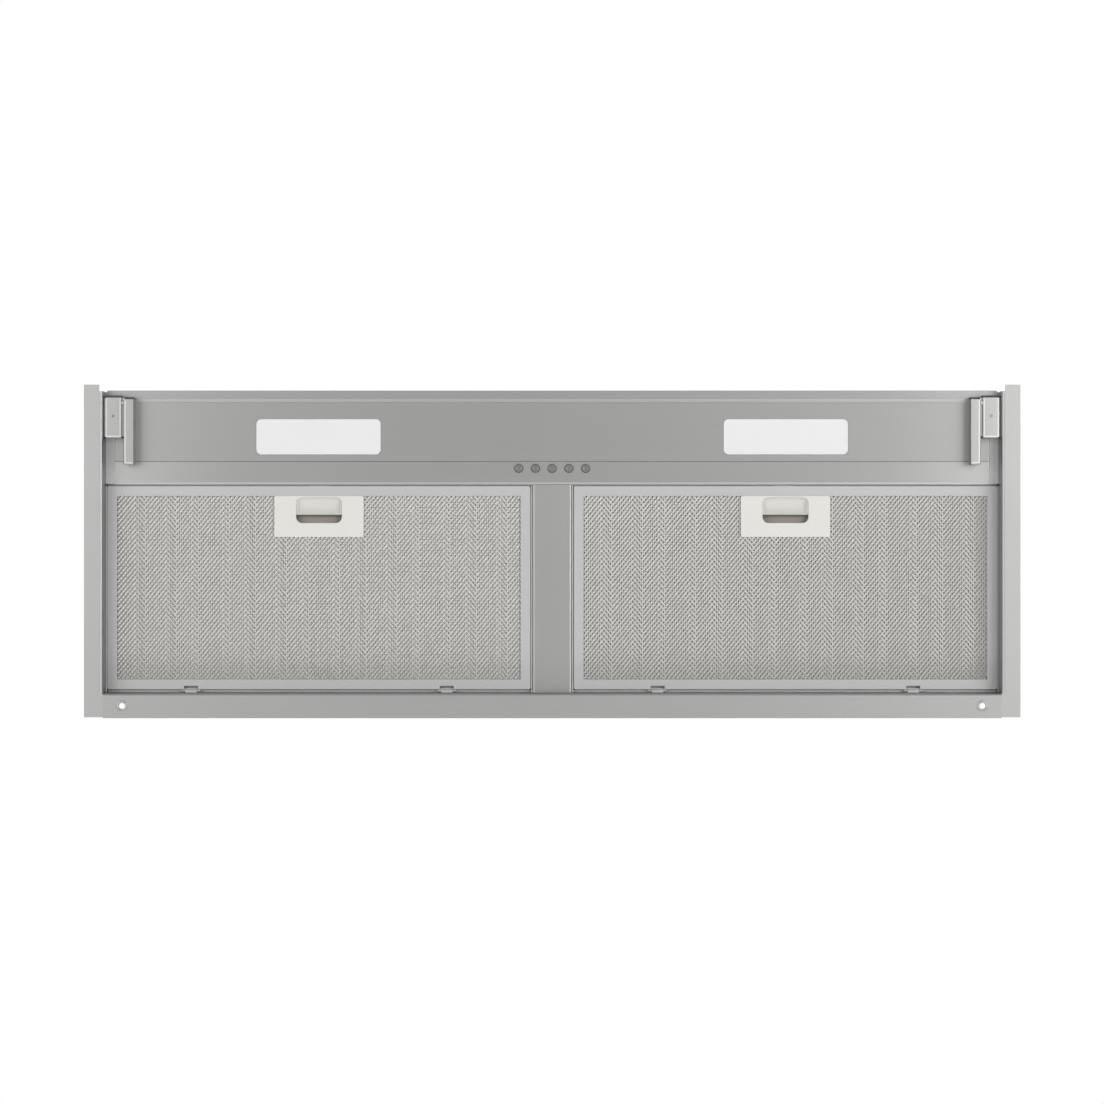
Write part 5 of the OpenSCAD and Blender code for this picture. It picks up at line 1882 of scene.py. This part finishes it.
@dataclass
class BlowerCasing:
    """Galvanised casing over the tray: five sheets with pressed beads, rivets and screws."""

    x: float = 0.170
    front: float = -0.1136
    rear: float = 0.1224
    roof: float = 0.254
    bead_w: float = 0.007
    bead_h: float = 0.0011
    levels: tuple[float, ...] = (0.105, 0.160, 0.215)
    centre_y: float = 0.0044
    foot_z: float = 0.064
    foot_front: float = -0.11985
    foot_x: float = 0.17625
    foot_step: float = 0.07867

    def build(self) -> None:
        """Dresses the sheets and adds their beads, rivets and screws."""
        dress([f"casing_{sheet}" for sheet in ("front", "rear", "left", "right", "top")], GALVANISED)
        for level in self.levels:
            row = f"bead_{round(level * 1000)}"
            self.build_bead(f"front_{row}", Axis.Y, self.front, -1, 0.27, (0.0, level))
            self.build_bead(f"rear_{row}", Axis.Y, self.rear, 1, 0.27, (0.0, level))
            for side in Side:
                self.build_bead(f"{side.word}_{row}", Axis.X, side.value * self.x, side.value, 0.165,
                                (self.centre_y, level))
        for side in Side:
            self.build_bead(f"roof_bead_{side.word}", Axis.Z, self.roof, 1, 0.12,
                            (side.value * 0.142, 0.045), turned=True)
        self.build_rivets()
        feet = [shift(x, self.foot_front, self.foot_z) for x in (-0.1275, -0.0425, 0.0425, 0.1275)]
        feet += [shift(side.value * self.foot_x, self.centre_y + y, self.foot_z)
                 for side in Side for y in (-self.foot_step, 0, self.foot_step)]
        roof = [shift(x, y, self.roof) for x in (-0.162, 0.162) for y in (-0.1056, 0.1144)]
        ScrewHeads().place("casing_screw_heads", "casing_screws", feet + roof)

    def build_bead(self, name: str, axis: Axis, face: float, out: int, length: float,
                   middle: tuple[float, float], turned: bool = False) -> None:
        """Presses one stiffening bead into a sheet.

        Args:
            name: the piece's name.
            axis: the sheet's normal.
            face: where the sheet's outer face is along it.
            out: 1 or -1, the way out of the casing.
            length: the bead's length.
            middle: its centre in the two other directions.
            turned: whether it runs along the second of them.
        """
        width, depth = (self.bead_w, length) if turned else (length, self.bead_w)
        outline = rounded(width, depth, self.bead_w / 2 - NEAR, middle, 8)
        tip = face + out * self.bead_h
        bead = Workpiece.bar(name, outline, axis, face - out * 0.0003, tip)
        along = Vector(axis.value)
        bead.round_edges(lambda c, d: abs(c.dot(along) - tip) < NEAR, self.bead_h * 0.95, 4)
        bead.hand_over("body", GALVANISED)

    def build_rivets(self) -> None:
        """Sets blind rivets along the casing's four upright seams."""
        profile = [(0.0, 0.0003), (0.0009, 0.0003), (0.0010, 0.0009), (0.0016, 0.0010), (0.0024, 0.0007),
                   (0.0029, 0.0), (0.0, 0.0)]
        rivet = Workpiece.lathe("rivet", profile, (0, 0, 0), steps=18)
        copies = []
        for y, degrees in ((self.front, 90), (self.rear, -90)):
            turn = Matrix.Rotation(math.radians(degrees), 4, "X")
            for x in (-0.161, 0.161):
                for z in (0.082, 0.133, 0.187, 0.238):
                    copies.append(rivet.twin("rivet", shift(x, y, z) @ turn))
        rivet.discard()
        Workpiece.merged("seam_rivets", copies).hand_over("body", SCREW)


@dataclass
class Blower:
    """Blower in the casing: scroll, wheel, motor with its bracket and capacitor."""

    axis: tuple[float, float] = (-0.030, 0.155)
    screw_x: float = -0.0616
    screw_r: float = 0.070

    def build(self) -> None:
        """Dresses the blower and sets the bracket's screws."""
        dress(["scroll_band", "scroll_left_plate", "scroll_right_plate"], GALVANISED)
        dress(["left_fan_blades", "right_fan_blades", "fan_disc"], WHEEL)
        dress(["motor"], MOTOR)
        dress(["motor_shaft"], SPRING)
        dress(["motor_bracket"], FOLDED)
        dress(["capacitor"], WHITE)
        places = []
        for angle in (30, 150, 270):
            turn = math.radians(angle)
            middle = (self.axis[0] - self.screw_r * math.sin(turn),
                      self.axis[1] + self.screw_r * math.cos(turn))
            places.append(shift(self.screw_x, *middle) @ Matrix.Rotation(-math.pi / 2, 4, "Y"))
        ScrewHeads().place("blower_screw_heads", "blower_screws", places)


@dataclass
class DuctOutlet:
    """Duct collar with its gussets, pin, two ribbed flaps and screws."""

    y: float = 0.0304707
    flange_top: float = 0.2558
    outer: float = 0.075
    flange: float = 0.088
    gussets: int = 12
    gusset_h: float = 0.012
    gusset_half: float = 0.0008
    screw_ring: float = 0.0815
    flap_top: float = 0.2686
    rib_h: float = 0.0012
    rib_w: float = 0.0016
    rib_middle: float = 0.040

    def build(self) -> None:
        """Dresses the outlet and adds its gussets, flap ribs and screws."""
        dress(["outlet_collar"], DARK)
        dress(["front_flap", "rear_flap"], FLAP)
        dress(["flap_pin"], SPRING)
        self.build_gussets()
        self.build_duct_bead()
        for name, way in (("front", -1), ("rear", 1)):
            self.build_flap_ribs(name, way)
        corners = [math.radians(45 + 90 * i) for i in range(4)]
        ScrewHeads().place("collar_screw_heads", "collar_screws",
                           [shift(self.screw_ring * math.cos(t),
                                  self.y + self.screw_ring * math.sin(t), self.flange_top)
                            for t in corners])

    def build_gussets(self) -> None:
        """Models one gusset between flange and tube and copies it round the collar, clear of the screws."""
        low, out, reach = self.flange_top - 0.0002, self.outer - 0.0003, self.flange - 0.002
        wedge = [(out, low), (reach, low), (reach, low + 0.0015), (out + 0.0015, low + self.gusset_h),
                 (out, low + self.gusset_h)]
        gusset = Workpiece.bar("gusset", wedge, Axis.Y, -self.gusset_half, self.gusset_half)
        gusset.soften(0.0003, 2)
        copies = []
        for i in range(self.gussets):
            angle = (i + 0.5) * 2 * math.pi / self.gussets
            if abs(math.degrees(angle) % 90 - 45) > 5:
                copies.append(gusset.twin("gusset", shift(0, self.y) @ Matrix.Rotation(angle, 4, "Z")))
        gusset.discard()
        Workpiece.merged("collar_gussets", copies).hand_over("body", DARK)

    def build_duct_bead(self) -> None:
        """Spins the two raised beads that hold the duct's clamp."""
        for place, level in enumerate((0.282, 0.289)):
            bump = [(self.outer - 0.0002 + 0.0009 * math.cos(t), level + 0.0011 * math.sin(t))
                    for t in (math.radians(a) for a in range(-90, 91, 30))]
            profile = bump + [(self.outer - 0.0004, level), bump[0]]
            bead = Workpiece.lathe(f"duct_bead_{place + 1}", profile, (0, self.y, 0), steps=96)
            bead.hand_over("body", DARK)

    def build_flap_ribs(self, name: str, way: int) -> None:
        """Raises three stiffening ribs on a flap.

        Args:
            name: the flap's name, front or rear.
            way: 1 where the flap reaches to the rear, -1 where it reaches to the front.
        """
        ribs = []
        top = self.flap_top + self.rib_h
        for angle in (-42, 0, 42):
            length = 0.046 if angle == 0 else 0.044
            outline = rounded(self.rib_w, length, 0.0007, (0.0, way * self.rib_middle), 3)
            rib = Workpiece.bar("rib", outline, Axis.Z, self.flap_top - 0.0002, top)
            rib.round_edges(lambda c, d: c.z > top - NEAR, 0.0004, 2)
            ribs.append(rib.twin("rib", shift(0, self.y) @ Matrix.Rotation(math.radians(angle), 4, "Z")))
            rib.discard()
        Workpiece.merged(f"{name}_flap_ribs", ribs).hand_over(f"{name}_flap", FLAP)


@dataclass
class MainsBox:
    """Terminal box on the roof with its lid screws and the cable gland."""

    x: float = 0.122
    y: float = -0.0736
    base: float = 0.254
    box_h: float = 0.024
    lid_h: float = 0.003
    width: float = 0.064
    depth: float = 0.048
    gland_x: float = 0.152
    margin: float = 0.010
    bore_r: float = 0.0035
    neck_r: float = 0.0064
    flutes: int = 32

    def build(self) -> None:
        """Dresses the box and adds the lid's panel, its screws and the gland."""
        dress(["terminal_box"], DARK)
        top = self.base + self.box_h + self.lid_h
        outline = rounded(self.width - self.margin, self.depth - self.margin, 0.004, (self.x, self.y))
        panel = Workpiece.bar("box_lid_panel", outline, Axis.Z, top - 0.0003, top + 0.0009)
        panel.round_edges(lambda c, d: c.z > top + 0.0008 and abs(d.z) < 0.5, 0.0006, 3)
        panel.hand_over("body", DARK)
        head = ScrewHeads().model()
        spots = [(self.x + a * (self.width / 2 - self.margin), self.y + a * (self.depth / 2 - self.margin))
                 for a in (-1, 1)]
        copies = [head.twin("lid_screw", shift(x, y, top + 0.0008)) for x, y in spots]
        head.discard()
        screws = copies[0].join(copies[1:])
        screws.obj.name = "box_lid_screws"
        screws.hand_over("body", SCREW)
        self.build_gland()

    def build_gland(self) -> None:
        """Models the gland: six-sided nut, threaded neck and fluted cap with a dark bore."""
        level, bore, neck_r = self.base + self.box_h / 2, self.bore_r, self.neck_r
        start = (self.gland_x, self.y, level)
        nut = Workpiece.drum("cable_gland_body", (self.gland_x + 0.002, self.y, level), 0.009, 0.004,
                             Axis.X, 6)
        nut.soften(0.0006, 2)
        thread = [(bore, 0.0022)]
        for turn in range(5):
            thread += [(neck_r, 0.0040 + turn * 0.0012), (0.0070, 0.0046 + turn * 0.0012)]
        thread += [(neck_r, 0.0101), (bore, 0.0101), (bore, 0.0022)]
        neck = Workpiece.lathe("neck", thread, start, Axis.X, self.flutes)
        shell = [(bore, 0.0100), (0.0078, 0.0100), (0.0080, 0.0103), (0.0078, 0.0128),
                 (neck_r, 0.0160), (bore, 0.0160), (bore, 0.0100)]
        cap = Workpiece.lathe("cap", shell, start, Axis.X, self.flutes)
        with cap.editing():
            cap.pick(lambda c, n: abs(n.x) < 0.5 and math.hypot(c.y - self.y, c.z - level) > 0.006
                     and self.side_of(c) % 2 == 0)
            bpy.ops.mesh.inset(thickness=0.00015, use_individual=True)
            bpy.ops.transform.shrink_fatten(value=-0.0005)
        nut.join([neck, cap]).hand_over("body", BLACK, ["cable_gland"])

    def side_of(self, spot: Vector) -> int:
        """Counts which side of the cap a place is on.

        Args:
            spot: the middle of one of its faces.

        Returns:
            The side's number from 0, round from the rear.
        """
        angle = math.atan2(spot.z - (self.base + self.box_h / 2), spot.y - self.y)
        return int(round(math.degrees(angle) / (360 / self.flutes) - 0.5))


def main() -> None:
    """Builds the studio and every sub-assembly in order, and reports each piece."""
    logging.basicConfig(level=logging.INFO, format="%(name)s: %(message)s")
    Workpiece.clear()
    Studio().build()
    assemblies = [Tray(), *(CornerBracket(side) for side in Side), *(Lamp(side) for side in Side),
                  ButtonRow(), *(GreaseFilter(side) for side in Side), BlowerCasing(), Blower(),
                  DuctOutlet(), MainsBox()]
    known = {piece.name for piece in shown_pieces()}
    for assembly in assemblies:
        assembly.build()
        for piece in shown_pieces():
            if piece.name not in known:
                known.add(piece.name)
                LOG.info("%s: %s, %d faces", type(assembly).__name__, piece.name,
                         len(piece.data.polygons))
    Workpiece.clear()


if __name__ == "__main__":
    main()
